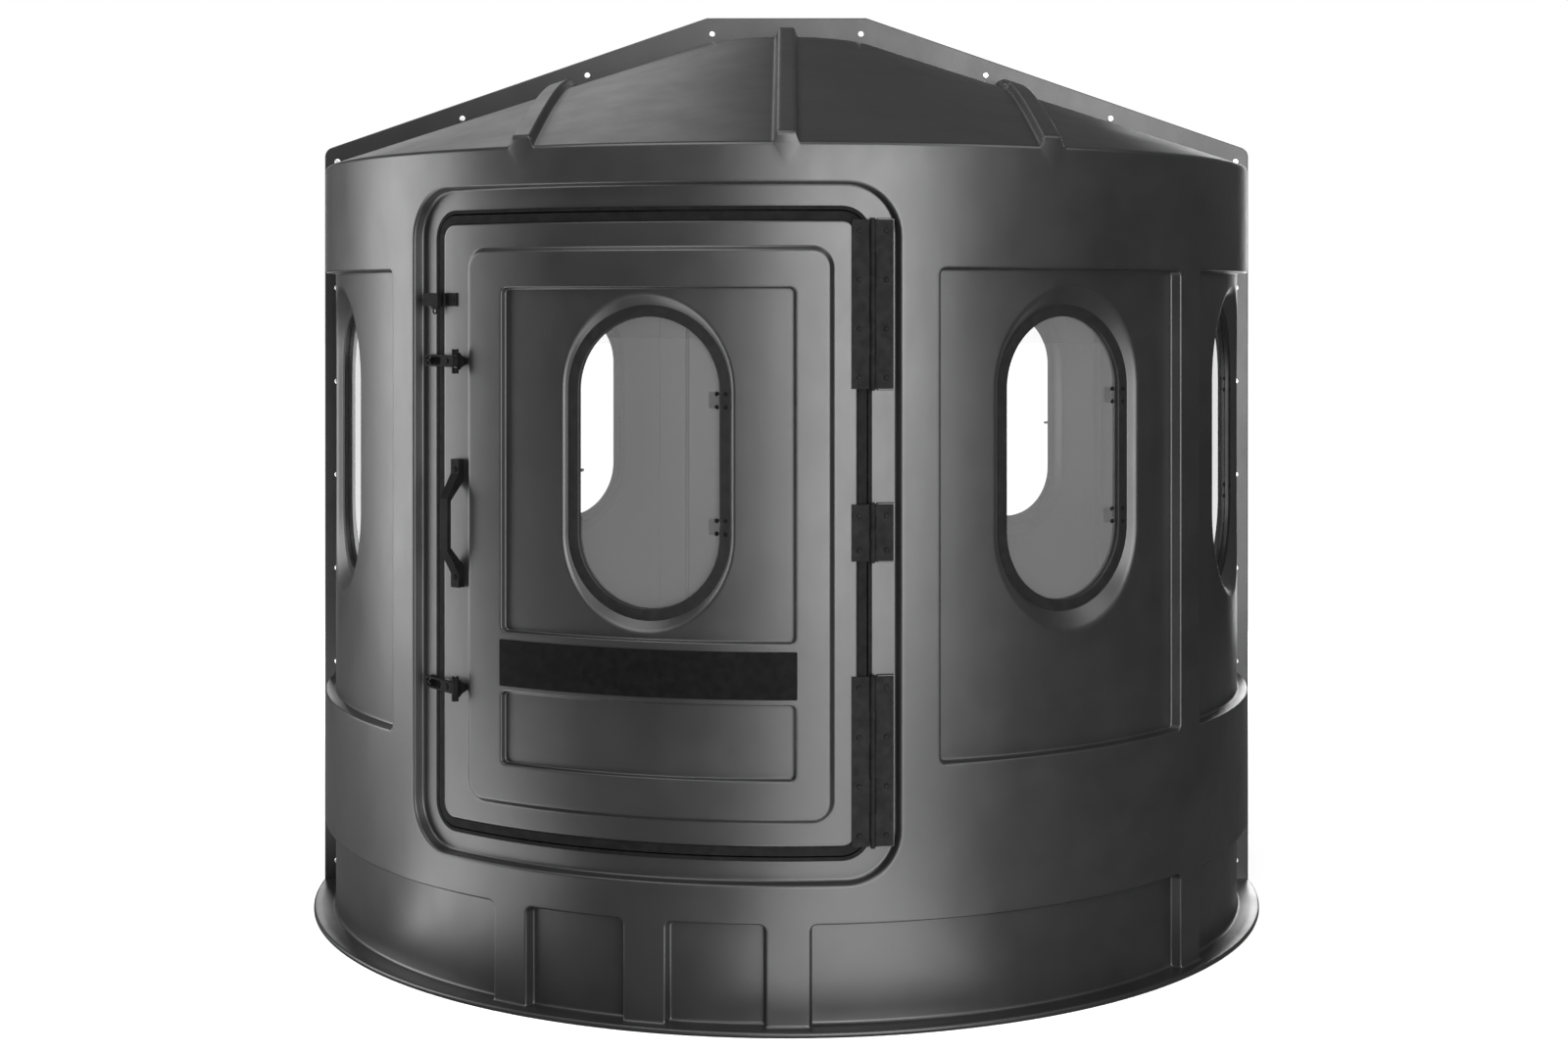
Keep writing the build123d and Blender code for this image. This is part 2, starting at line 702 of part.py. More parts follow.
def handle():
    """Black pull: two feet, two slanted arms and a straight grip."""
    root = face_radius - handle_edge
    foot = face_radius + handle_foot_height
    front = face_radius + handle_stand
    middle = (handle_bottom + handle_top) / 2
    with BuildPart() as pull:
        with BuildSketch(section_plane(handle_azimuth)):
            with BuildLine():
                Polyline(
                    (root, handle_bottom),
                    (foot, handle_bottom),
                    (foot, handle_bottom + handle_foot_flat),
                    (front, middle - handle_grip / 2),
                    (front, middle + handle_grip / 2),
                    (foot, handle_top - handle_foot_flat),
                    (foot, handle_top),
                    (root, handle_top),
                    (root, handle_top - handle_foot),
                    (front - handle_bar, middle + handle_grip / 2 - handle_bar / 2),
                    (front - handle_bar, middle - handle_grip / 2 + handle_bar / 2),
                    (root, handle_bottom + handle_foot),
                    close=True,
                )
            make_face()
        extrude(amount=handle_width / 2, both=True)
        Cylinder(face_radius, 2 * far, mode=Mode.SUBTRACT)
        add(handle_bores(), mode=Mode.SUBTRACT)
    return pull.part


def handle_screws():
    places = [(0, z) for z in handle_screw_heights()]
    seat = face_radius + handle_foot_height
    foot = wall_plane(handle_azimuth, door_inner_radius)
    with BuildPart() as screws:
        add(round_bars(foot, places, handle_screw_radius, seat - door_inner_radius))
        with BuildSketch(wall_plane(handle_azimuth, seat)):
            with Locations(places):
                Circle(handle_screw_head)
        extrude(amount=handle_screw_head_height, taper=screw_head_taper)
    return screws.part


def latch_plan(height):
    """Level plane at the barrel's axis, at a height above or below the latch's middle."""
    return plan_plane(latch_azimuth, latch_axis, height)


def latch_base(latch):
    """Forked neck on the door with an ear above and below the strap's eye."""
    middle = latches[latch]
    half = latch_barrel_height / 2
    eye = latch_strap_height / 2 + latch_base_gap
    side = [
        (face_radius - wall / 2, latch_neck_foot / 2),
        (latch_axis - latch_neck_part, latch_neck_top / 2),
        (latch_axis - latch_fork_start, latch_fork_height / 2),
        (latch_axis, latch_fork_height / 2),
    ]
    outline = [(x, middle + y) for x, y in side] + [(x, middle - y) for x, y in reversed(side)]
    with BuildPart() as base:
        with BuildSketch(section_plane(latch_azimuth)):
            with BuildLine():
                Polyline(*outline, close=True)
            make_face()
        extrude(amount=latch_neck_width / 2, both=True)
        with BuildSketch(latch_plan(middle - half)):
            Circle(latch_barrel_radius)
        extrude(amount=latch_barrel_height)
        with BuildSketch(latch_plan(middle - eye)):
            with Locations((0, latch_base_gap - latch_barrel_radius)):
                Rectangle(4 * latch_barrel_radius, 4 * latch_barrel_radius)
        extrude(amount=2 * eye, mode=Mode.SUBTRACT)
        with BuildSketch(latch_plan(middle - half)):
            Circle(latch_bore_radius)
        extrude(amount=latch_barrel_height, mode=Mode.SUBTRACT)
        Cylinder(face_radius, 2 * far, mode=Mode.SUBTRACT)
    return base.part


def latch_line():
    """From the post up to the barrel's axis: the strap lies along it."""
    post = outward(latch_post_azimuth) * (land_radius + latch_strap_stand)
    return outward(latch_azimuth) * latch_axis - post


def strap_plan(height):
    """Level plane at the barrel's axis: X along the strap towards the door's middle, Y inward."""
    place = outward(latch_azimuth) * latch_axis + Vector(0, 0, height)
    return Plane(origin=place, x_dir=latch_line(), z_dir=(0, 0, 1))


def strap_plane(rise, height):
    """Plane along the strap at a rise outside the barrel's axis: X as above, Y up, Z outward."""
    normal = latch_line().normalized().cross(Vector(0, 0, 1))
    place = outward(latch_azimuth) * latch_axis + normal * rise + Vector(0, 0, height)
    return Plane(origin=place, x_dir=latch_line(), z_dir=normal)


def latch_strap(latch):
    """Rubber strap with an eye on the barrel, a slot over the post and a rivet."""
    middle = latches[latch]
    reach = latch_line().length
    end = reach + latch_strap_beyond
    slot_end = reach + latch_slot_beyond
    inner = -latch_strap_drop - latch_strap_thickness / 2
    with BuildPart() as strap:
        with BuildSketch(strap_plan(middle - latch_strap_height / 2)):
            Circle(latch_barrel_radius)
            with Locations((-end / 2, latch_strap_drop)):
                Rectangle(end, latch_strap_thickness)
            Circle(latch_bore_radius, mode=Mode.SUBTRACT)
        extrude(amount=latch_strap_height)
        with BuildSketch(strap_plane(inner, middle)):
            with Locations((-slot_end + latch_slot_length / 2, 0)):
                SlotOverall(latch_slot_length, latch_slot_height)
        extrude(amount=latch_strap_thickness, mode=Mode.SUBTRACT)
    with BuildPart() as rivet:
        with BuildSketch(strap_plane(inner + latch_strap_thickness, middle)):
            with Locations((-latch_rivet_from_barrel, 0)):
                Circle(latch_rivet_radius)
        extrude(amount=latch_strap_thickness / 2, taper=screw_head_taper)
    return Compound(children=[strap.part, rivet.part])


def latch_pin(latch):
    with BuildPart() as pin:
        with BuildSketch(latch_plan(latches[latch] - latch_barrel_height / 2)):
            Circle(latch_pin_radius)
        extrude(amount=latch_barrel_height)
    return pin.part


def latch_post(latch):
    """Frame plate with the post that the strap's slot goes over."""
    middle = latches[latch]
    with BuildPart() as post:
        with BuildSketch(wall_plane(latch_post_azimuth, land_radius - wall / 2, middle)):
            Rectangle(latch_plate_width, latch_strap_height)
        extrude(amount=latch_plate_thickness + wall / 2)
        with BuildSketch(wall_plane(latch_post_azimuth, land_radius - wall / 2, middle)):
            Circle(latch_post_radius)
        extrude(amount=latch_post_stand + wall / 2)
        Cylinder(land_radius, 2 * far, mode=Mode.SUBTRACT)
    return post.part


def hasp_plan(height):
    return plan_plane(hasp_azimuth, hasp_axis, height)


def hasp_leaf():
    """Leaf on the door with the middle knuckle of the hasp's hinge."""
    third = hasp_width / 3
    face = hasp_pin_rise - hasp_leaf_thickness
    with BuildPart() as leaf:
        with BuildSketch(hasp_plan(hasp_height - hasp_width / 2)):
            with Locations(((hasp_leaf_start + hasp_leaf_length) / 2, hasp_pin_rise - joint_overlap / 2)):
                Rectangle(hasp_leaf_length - hasp_leaf_start, 2 * hasp_leaf_thickness - joint_overlap)
        extrude(amount=hasp_width)
        with BuildSketch(hasp_plan(hasp_height - third / 2 + knuckle_gap / 2)):
            Circle(hasp_knuckle_radius)
            with Locations(((hasp_leaf_start + joint_overlap) / 2, face)):
                Rectangle(hasp_leaf_start + joint_overlap, hasp_leaf_thickness)
            Circle(hasp_bore_radius, mode=Mode.SUBTRACT)
        extrude(amount=third - knuckle_gap)
        Cylinder(face_radius, 2 * far, mode=Mode.SUBTRACT)
        add(hasp_screw_bore(), mode=Mode.SUBTRACT)
    return leaf.part


def hasp_screw_bore():
    place = [(hasp_screw_from_pin, hasp_height)]
    depth = face_radius - wall / 2 - door_inner_radius
    plane = wall_plane(hasp_azimuth, face_radius - depth)
    return round_bars(plane, place, hasp_screw_radius + bolt_clearance, 2 * depth)


def hasp_screw():
    place = [(hasp_screw_from_pin, hasp_height)]
    seat = hasp_axis - hasp_pin_rise + hasp_leaf_thickness
    depth = wall + hasp_leaf_thickness
    with BuildPart() as screw:
        add(round_bars(wall_plane(hasp_azimuth, seat - depth), place, hasp_screw_radius, depth))
        with BuildSketch(wall_plane(hasp_azimuth, seat)):
            with Locations(place):
                Circle(hasp_screw_head)
        extrude(amount=hasp_screw_head_height, taper=screw_head_taper)
    return screw.part


def hasp_plate():
    """Swinging plate with the outer knuckles and a hollow cap that covers the staple."""
    third = hasp_width / 3
    low = hasp_height - hasp_width / 2
    start = hasp_leaf_start
    cap_start = hasp_plate_length - hasp_cap_length
    half_plate = hasp_leaf_thickness / 2
    cap_middle = half_plate - hasp_cap_depth / 2
    with BuildPart() as plate:
        with BuildSketch(hasp_plan(low)):
            with Locations((-(start + hasp_plate_length) / 2, 0)):
                Rectangle(hasp_plate_length - start, hasp_leaf_thickness)
            with Locations((-(cap_start + hasp_plate_length) / 2, cap_middle)):
                Rectangle(hasp_cap_length, hasp_cap_depth)
        extrude(amount=hasp_width)
        for base in (low, hasp_height + third / 2 + knuckle_gap / 2):
            with BuildSketch(hasp_plan(base)):
                Circle(hasp_knuckle_radius)
                with Locations((-start / 2, 0)):
                    Rectangle(start + joint_overlap, hasp_leaf_thickness)
                Circle(hasp_bore_radius, mode=Mode.SUBTRACT)
            extrude(amount=third - knuckle_gap / 2)
        with BuildSketch(hasp_plan(low + hasp_cap_wall)):
            with Locations((-(cap_start + hasp_plate_length) / 2, cap_middle + hasp_cap_wall)):
                Rectangle(hasp_cap_length - 2 * hasp_cap_wall, hasp_cap_depth)
        extrude(amount=hasp_width - 2 * hasp_cap_wall, mode=Mode.SUBTRACT)
    return plate.part


def hasp_pin():
    with BuildPart() as pin:
        with BuildSketch(hasp_plan(hasp_height - hasp_width / 2)):
            Circle(hasp_pin_radius)
        extrude(amount=hasp_width)
    return pin.part


def hasp_eye():
    """Padlock eye on a neck under the hasp's cap."""
    low = hasp_height - hasp_width / 2
    depth = hasp_axis + hasp_cap_depth / 2 - hasp_leaf_thickness / 2
    ring = wall_plane(hasp_azimuth, depth, low - eye_neck_height - eye_radius + eye_rod / 2)
    with BuildPart() as eye:
        with BuildSketch(wall_plane(hasp_azimuth, depth - eye_rod, low - eye_neck_height / 2)):
            with Locations((-eye_from_pin, 0)):
                Rectangle(eye_neck_width, eye_neck_height)
        extrude(amount=2 * eye_rod)
        with Locations(ring):
            with Locations((-eye_from_pin, 0)):
                Torus(eye_radius, eye_rod)
    return eye.part


def hasp_staple():
    """Staple block at the door's side of its base plate."""
    root = land_radius - wall / 2
    with BuildPart() as staple:
        with BuildSketch(wall_plane(staple_azimuth, root, hasp_height)):
            with Locations(((staple_size - staple_base) / 2, 0)):
                Rectangle(staple_base, hasp_width)
        extrude(amount=staple_base_thickness + wall / 2)
        with BuildSketch(wall_plane(staple_azimuth, root, hasp_height)):
            Rectangle(staple_size, staple_height)
        extrude(amount=staple_stand + wall / 2)
        Cylinder(land_radius, 2 * far, mode=Mode.SUBTRACT)
    return staple.part


def pane_back(name):
    return window_seat(name) - wall - gasket_thickness - pane_gap - pane_thickness


def window_plan(name, height):
    """Level plane at a window's pin axis: X to the right of the axis, Y inward."""
    place = rightward(windows[name]) * (opening_width / 2 + window_pin_offset)
    place += outward(windows[name]) * (pane_back(name) - window_pin_drop) + Vector(0, 0, height)
    return Plane(origin=place, x_dir=rightward(windows[name]), z_dir=(0, 0, 1))


def window_hinge_heights():
    return [-window_hinge_spacing / 2, window_hinge_spacing / 2]


def window_screw_places(side):
    """Screws of both hinges, from the window's middle: side is 1 on the frame and -1 on the pane."""
    x = opening_width / 2 + window_pin_offset + side * window_screw_spacing / 2
    half_pitch = window_screw_pitch / 2
    return [(x, y + dy) for y in window_hinge_heights() for dy in (-half_pitch, half_pitch)]


def pull_place():
    return (-opening_width / 2 - pull_beyond, -pull_drop)


def window_bores(name):
    """Holes for the fixed leaves' screws."""
    plane = wall_plane(windows[name], window_seat(name) - 2 * wall, window_height)
    return round_bars(plane, window_screw_places(1), window_screw_radius + bolt_clearance, 4 * wall)


def window_gasket(name):
    back = window_seat(name) - wall
    inner = 2 * gasket_inset
    outer = 2 * (gasket_inset + gasket_width)
    with BuildPart() as gasket:
        with BuildSketch(wall_plane(windows[name], back - gasket_thickness, window_height)):
            SlotOverall(opening_height + outer, opening_width + outer, rotation=90)
            SlotOverall(opening_height + inner, opening_width + inner, rotation=90, mode=Mode.SUBTRACT)
        extrude(amount=gasket_thickness)
    return gasket.part


def window_pane(name):
    """Flat pane behind the ring, cut straight on its hinged side."""
    edge = opening_width / 2 - hinge_gap
    with BuildPart() as pane:
        with BuildSketch(wall_plane(windows[name], pane_back(name), window_height)):
            SlotOverall(opening_height + 2 * pane_overlap, opening_width + 2 * pane_overlap, rotation=90)
            with Locations((edge - opening_width, 0)):
                Rectangle(2 * opening_width, 2 * opening_height, mode=Mode.INTERSECT)
            with Locations(window_screw_places(-1)):
                Circle(window_screw_radius + bolt_clearance, mode=Mode.SUBTRACT)
        extrude(amount=pane_thickness)
        with BuildSketch(wall_plane(windows[name], pane_back(name), window_height)):
            with Locations(pull_place()):
                Circle(pull_stem_radius + bolt_clearance)
        extrude(amount=pull_stem_depth + bolt_clearance, mode=Mode.SUBTRACT)
    return pane.part


def knuckle_bands(middle):
    """Heights of a window hinge's knuckles: the outer two, or the middle one alone."""
    third = window_hinge_height / 3
    gap = knuckle_gap / 2
    if middle:
        return [(-third / 2 + gap, third / 2 - gap)]
    return [(-window_hinge_height / 2, -third / 2 - gap), (third / 2 + gap, window_hinge_height / 2)]


def window_screws(name, side, seat, depth):
    """Screws with their heads on a seat plane outside."""
    with BuildPart() as screws:
        plane = wall_plane(windows[name], seat - depth, window_height)
        with BuildSketch(plane):
            with Locations(window_screw_places(side)):
                Circle(window_screw_radius)
        extrude(amount=depth)
        with BuildSketch(wall_plane(windows[name], seat, window_height)):
            with Locations(window_screw_places(side)):
                Circle(window_screw_head)
        extrude(amount=window_screw_head_height, taper=screw_head_taper)
    return screws.part


def window_hinge(name):
    """Fixed leaves of both hinges, with their pins and screws."""
    behind = window_seat(name) - wall - pane_back(name) + window_pin_drop
    block_low = window_block_depth
    solids = []
    for hinge in window_hinge_heights():
        low = window_height + hinge - window_hinge_height / 2
        with BuildPart() as leaf:
            with BuildSketch(window_plan(name, low)):
                with Locations(((window_block_start + window_block_end) / 2, (block_low - behind) / 2)):
                    Rectangle(window_block_end - window_block_start, block_low + behind)
            extrude(amount=window_hinge_height)
            for start, end in knuckle_bands(middle=False):
                with BuildSketch(window_plan(name, window_height + hinge + start)):
                    Circle(window_knuckle_radius)
                    with Locations(((window_block_start + joint_overlap) / 2, block_low / 3)):
                        Rectangle(window_block_start + joint_overlap, 4 * block_low / 3)
                    Circle(window_bore_radius, mode=Mode.SUBTRACT)
                extrude(amount=end - start)
            with BuildSketch(wall_plane(windows[name], window_seat(name) - 2 * behind, window_height)):
                with Locations(window_screw_places(1)):
                    Circle(window_screw_radius + bolt_clearance)
            extrude(amount=2 * behind, mode=Mode.SUBTRACT)
        with BuildPart() as pin:
            with BuildSketch(window_plan(name, low)):
                Circle(window_pin_radius)
            extrude(amount=window_hinge_height)
        solids += [leaf.part, pin.part]
    return Compound(children=solids + [window_screws(name, 1, window_seat(name), behind)])


def window_fittings(name):
    """Moving leaves of both hinges, their screws and the pane's pull."""
    solids = []
    start = window_leaf_start
    leaf_back = pane_back(name) - window_leaf_thickness
    for hinge in window_hinge_heights():
        plate_y = window_leaf_thickness / 2 - window_pin_drop
        with BuildPart() as leaf:
            with BuildSketch(window_plan(name, window_height + hinge - window_hinge_height / 2)):
                with Locations((-(start + window_leaf_length) / 2, plate_y)):
                    Rectangle(window_leaf_length - start, window_leaf_thickness)
            extrude(amount=window_hinge_height)
            for low, high in knuckle_bands(middle=True):
                with BuildSketch(window_plan(name, window_height + hinge + low)):
                    Circle(window_knuckle_radius)
                    with Locations((-start / 2, plate_y)):
                        Rectangle(start + joint_overlap, window_leaf_thickness)
                    Circle(window_bore_radius, mode=Mode.SUBTRACT)
                extrude(amount=high - low)
            with BuildSketch(wall_plane(windows[name], leaf_back, window_height)):
                with Locations(window_screw_places(-1)):
                    Circle(window_screw_radius + bolt_clearance)
            extrude(amount=window_leaf_thickness, mode=Mode.SUBTRACT)
        solids.append(leaf.part)
    pane_face = pane_back(name) + pane_thickness
    depth = pane_thickness + window_leaf_thickness
    solids.append(window_screws(name, -1, pane_face, depth))
    rounds = [
        (pane_back(name) - pull_length, pull_radius, pull_length),
        (pane_back(name), pull_stem_radius, pull_stem_depth),
    ]
    with BuildPart() as pull:
        for distance, radius, length in rounds:
            with BuildSketch(wall_plane(windows[name], distance, window_height)):
                with Locations(pull_place()):
                    Circle(radius)
            extrude(amount=length)
    return Compound(children=solids + [pull.part])


def save(part, name):
    part.label = name
    export_step(part, f"parts/{name}.step")


for half in ("front", "rear"):
    save(shell_half(half), f"{half}_shell")
    save(floor_half(half), f"{half}_floor")
save(flange_bolts(), "flange_bolts")
save(flange_nuts(), "flange_nuts")
save(door_panel(), "door_panel")
save(door_seal(), "door_seal")
save(door_trim(), "door_trim")
save(label_strip(), "label_strip")
for hinge in door_hinges:
    save(hinge_leaf(hinge, 1), f"hinge_frame_leaf_{hinge}")
    save(hinge_leaf(hinge, -1), f"hinge_door_leaf_{hinge}")
    save(hinge_pin(hinge), f"hinge_pin_{hinge}")
save(hinge_bolts(1), "hinge_bolts_frame")
save(hinge_bolts(-1), "hinge_bolts_door")
save(handle(), "handle")
save(Compound(children=[handle_screws(), hasp_screw()]), "door_screws")
for latch in latches:
    save(latch_base(latch), f"latch_base_{latch}")
    save(latch_strap(latch), f"latch_strap_{latch}")
    save(latch_post(latch), f"latch_post_{latch}")
save(Compound(children=[latch_pin(latch) for latch in latches]), "latch_pins")
save(hasp_leaf(), "hasp_leaf")
save(hasp_plate(), "hasp_plate")
save(hasp_pin(), "hasp_pin")
save(hasp_eye(), "hasp_eye")
save(hasp_staple(), "hasp_staple")
for name in windows:
    save(window_gasket(name), f"window_gasket_{name}")
    save(window_pane(name), f"window_pane_{name}")
    save(window_hinge(name), f"window_hinge_{name}")
    save(window_fittings(name), f"window_fittings_{name}")
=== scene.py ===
import math

import bmesh
import bpy
import numpy as np
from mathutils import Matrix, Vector
from mathutils.geometry import delaunay_2d_cdt


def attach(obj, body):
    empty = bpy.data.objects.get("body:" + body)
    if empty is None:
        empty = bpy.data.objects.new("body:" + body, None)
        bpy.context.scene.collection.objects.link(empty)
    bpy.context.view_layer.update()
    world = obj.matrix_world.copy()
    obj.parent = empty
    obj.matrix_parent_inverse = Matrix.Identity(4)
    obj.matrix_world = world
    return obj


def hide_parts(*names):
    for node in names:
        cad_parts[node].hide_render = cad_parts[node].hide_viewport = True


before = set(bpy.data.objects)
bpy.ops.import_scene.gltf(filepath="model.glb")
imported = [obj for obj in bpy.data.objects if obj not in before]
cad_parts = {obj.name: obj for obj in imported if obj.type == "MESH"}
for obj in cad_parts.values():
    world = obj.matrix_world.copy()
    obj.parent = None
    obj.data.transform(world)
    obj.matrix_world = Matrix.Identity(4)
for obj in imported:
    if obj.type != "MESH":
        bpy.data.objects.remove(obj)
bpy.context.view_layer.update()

# ---- Camera: level, at eye height, 4.9 m in front of the cabin's axis ----
camera_data = bpy.data.cameras.new("Camera")
camera_data.lens = 50.0
camera_data.sensor_width = 36.0
camera_data.shift_x = -0.0016
camera_data.shift_y = -0.145
camera = bpy.data.objects.new("Camera", camera_data)
camera.location = (0.0, -4.902, 1.3117)
camera.rotation_euler = (math.radians(90.0), 0.0, 0.0)
bpy.context.scene.collection.objects.link(camera)
bpy.context.scene.camera = camera

# Sizes are in mm and azimuths in degrees from the door side towards +X, as in the CAD model.

# ---- Shell ----
BAND = 1015.0                 # outside of the raised wall bands
RECESS = 22.0                 # depth of the wall panels behind the bands
LAND = BAND - RECESS
WALL = 7.0
EAVE = 1594.0
EAVE_ROUND = 6.0
ROOF_TOP = 1885.0
ROOF_FLAT = 173.0             # radius of the roof's level top
ROOF_SLOPE = (ROOF_TOP - EAVE) / (BAND - ROOF_FLAT)
ROOF_DROP = 7.6               # thickness of the roof, measured upright
TOP_SOFT = (3.0, 9.0)         # depth and width of the dip that softens the level top's edge
RIB_PLACES = (-490.0, 0.0, 490.0)
RIB_CREST = 14.5              # half the width of a rib's crest
RIB_FOOT = 25.5
RIB_HEIGHT = 20.6
SIDES = {"front": -1, "rear": 1}
MIDDLES = {"front": 0.0, "rear": 180.0}

# ---- Base lip and joining flange ----
LIP_RADIUS = 1039.5
LIP_HEIGHT = 10.0
# Inset and height of each point of the lip's nose
LIP_NOSE = ((5.0, 10.0), (2.4, 9.4), (0.7, 8.0), (0.0, 6.0), (0.0, 2.5), (0.8, 0.8), (2.5, 0.0))
LEDGE = 930.0                 # inner edge of the ring that carries the floor
WALL_FOOT = 16.0
FLANGE_HALF = 1037.5
FLANGE_TOP = 1945.0
FLANGE_FLAT = 179.0
FLANGE_CORNER = 22.0
FLANGE_THICK = 8.0
# Inset from the flange's edge and distance back from its face
FLANGE_NOSE = ((2.0, 0.0), (1.1, 0.25), (0.35, 0.9), (0.0, 2.0))
FLANGE_SINK = 4.0             # the flange runs this far into the shell's skin
JOINT_GAP = 0.15              # each half stays this far from the joint

# ---- Wall panels ----
BEYOND = 6.0                  # degrees that a panel at the joint runs past it
PANEL_CORNER = 16.0
WINDOW_PANEL_HEIGHTS = (470.0, 1373.0)
WINDOW_PANELS = {"front": ((-90 - BEYOND, -48.9), (15.7, 49.4), (53.3, 90 + BEYOND)),
                 "rear": ((90 - BEYOND, 123.8), (127.7, 160.3), (164.2, 195.8), (199.7, 232.3),
                          (236.2, 270 + BEYOND))}
BASE_PANEL_HEIGHTS = (-200.0, 198.0)                                  # they run out below the wall's foot
BASE_PANELS = {"front": ((-90 - BEYOND, -32.2), (-28.4, -16.7), (-12.6, -1.9), (2.2, 49.4),
                         (53.3, 90 + BEYOND)),
               "rear": ((90 - BEYOND, 126.7), (130.6, 158.0), (162.0, 198.0), (202.0, 229.4),
                        (233.3, 270 + BEYOND))}

# ---- Windows ----
WINDOW_MIDDLE = 1015.0
HALF_STRAIGHT = 131.5         # half of a window's straight sides
RING_HALF = 156.0             # half the width of the flat ring round a window
RING_WIDE = 21.5
RING_EDGE = (1.3, 1.2)        # width and depth of the rounding at the ring's inner edge
SEAT = (27.0, 50.0)           # depth of a window's ring, and degrees of its border's slope
DOOR_SEAT = (20.0, 43.0)
WINDOWS = {"front": (-70.3, 32.6, 70.3), "rear": (144.0, 216.0)}
DOOR_WINDOW = -14.9
BORDER_ROUND = 6.0            # rounding where a window's border meets the wall
BORDER_FOOT = 0.8             # rounding where it meets the ring
BORDER_MARGIN = 6.0
BORDER_SHARES = (1.15, 1.0, 0.94, 0.88, 0.82, 0.76, 0.70, 0.64, 0.58, 0.52, 0.46, 0.40, 0.34, 0.28, 0.22,
                 0.16, 0.10, 0.05)
RING_ROWS = (-0.8, -0.3, 0.3, 0.8, 2.5, 18.5, 20.4, 21.1, RING_WIDE)

# ---- Door: (azimuths of its sides, lower edge, upper edge, corner radius) ----
DOOR_RECESS = ((-45.1, 11.9), 260.0, 1527.0, 100.0)
DOOR_OPENING = ((-42.3, 8.9), 303.0, 1481.0, 55.0)
DOOR_FIELD = ((-36.9, 5.05), 370.0, 1411.0, 42.0)
DOOR_SUNK = (((-31.9, 1.1), 693.0, 1337.0, 14.0), ((-31.9, 1.1), 447.0, 588.0, 14.0))
RIM = 990.0                   # radii of the door's rim, face, raised field, sunk rectangles and back
FACE = 999.0
FIELD = 1008.0
SUNK = 996.0
DOOR_BACK = 974.0
DOOR_EDGE = 13.0              # distances in from the opening: the door's edge, its face and its thin middle
DOOR_FACE_START = 26.0
DOOR_FACE_ROUND = 3.0
DOOR_HOLLOW = 33.0
DOOR_ROWS = (DOOR_EDGE, 16.0, DOOR_FACE_START, 26.12, 26.45, 27.0, 27.8, 29.0, 31.5, DOOR_HOLLOW, 34.5, 36.0)

# ---- Hinge pads on the frame ----
HINGE_AZIMUTH = 8.9
LEAF_SEAT = 999.5             # plane of the pads, from the cabin's axis
HINGES = ((1151.5, 1456.0), (841.6, 943.7), (329.0, 634.5))
PAD_REACH = (8.0, 41.0)       # from the pin line
PAD_MARGIN = 3.0
PAD_CORNER = 2.0
PAD_EDGE = 1.5
PAD_ROWS = (-1.0, 0.0, 0.75, PAD_EDGE, 3.0)

# ---- How the meshes are divided ----
GUARD = 3.5                   # rows of points this far outside each step
STEP_TURNS = 6
LARGE_CORNER = 30.0           # block corners from this radius up get twice the turns
CORNER_TURNS = (6, 12)
LEVEL_STEP = 16.0             # spacing of points along a block's level and upright sides
UPRIGHT_STEP = 45.0
WINDOW_TURNS = 44
WINDOW_UPS = 6
FILL_UP = 42.0                # spacing of loose points up the wall and the door, and across the door
FILL_ACROSS = 17.0
ROOF_FILL = 38.0
EAVE_INSETS = (0.0, 0.3, 1.4, 3.0, 6.0, 10.0)
TOP_OFFSETS = (19.0, 9.0, 0.0, -9.0, -19.0)
RIB_SHARES = (-0.35, 0.0, 0.12, 0.26, 0.42, 0.58, 0.74, 0.88, 1.0, 1.35)
FLANGE_TURNS = 6
WELD = 2e-5                   # points closer than this are joined, in metres
SHARP_ANGLE = 38.0            # edges bent by more than this stay sharp, in degrees


def arc(azimuth):
    """Length along the wall to an azimuth in degrees."""
    return LAND * math.radians(azimuth)


def ease(t):
    """0 to 1 over t from 0 to 1, level at both ends."""
    return 0.5 - 0.5 * np.cos(np.pi * np.clip(t, 0.0, 1.0))


def lower_of(a, b, soft):
    """The lower of two heights, blended where they are closer than soft."""
    near = np.maximum(soft - np.abs(a - b), 0.0) / soft
    return np.minimum(a, b) - near**2 * soft / 4


class Step:
    """Cross-section of a moulded step: two arcs joined by a straight, nearly upright face."""

    def __init__(self, depth, radius, steepness=84.0):
        turn = math.radians(steepness)
        self.depth = depth
        self.radius = radius
        self.slope = math.tan(turn)
        self.arc = radius * math.sin(turn)
        drop = radius * (1 - math.cos(turn))
        self.width = 2 * self.arc + (depth - 2 * drop) / self.slope
        ends = [radius * math.sin(turn * k / STEP_TURNS) for k in range(STEP_TURNS + 1)]
        self.rows = [-GUARD] + ends + [self.width - e for e in reversed(ends)] + [self.width + GUARD]

    def fall(self, d):
        """How far the surface has dropped at a distance d past the step's outer edge."""
        near = np.clip(np.minimum(d, self.width - d), 0.0, None)
        bend = self.radius - np.sqrt(self.radius**2 - np.minimum(near, self.arc)**2)
        drop = bend + np.maximum(near - self.arc, 0.0) * self.slope
        return np.where(d < self.width / 2, drop, self.depth - drop)


PANEL_STEP = Step(RECESS, 4.0)
DOOR_STEP = Step(RECESS, 5.0)
SUNK_STEP = Step(FIELD - SUNK, 3.2)
FIELD_STEP = Step(FIELD - FACE, 6.0, 52.0)


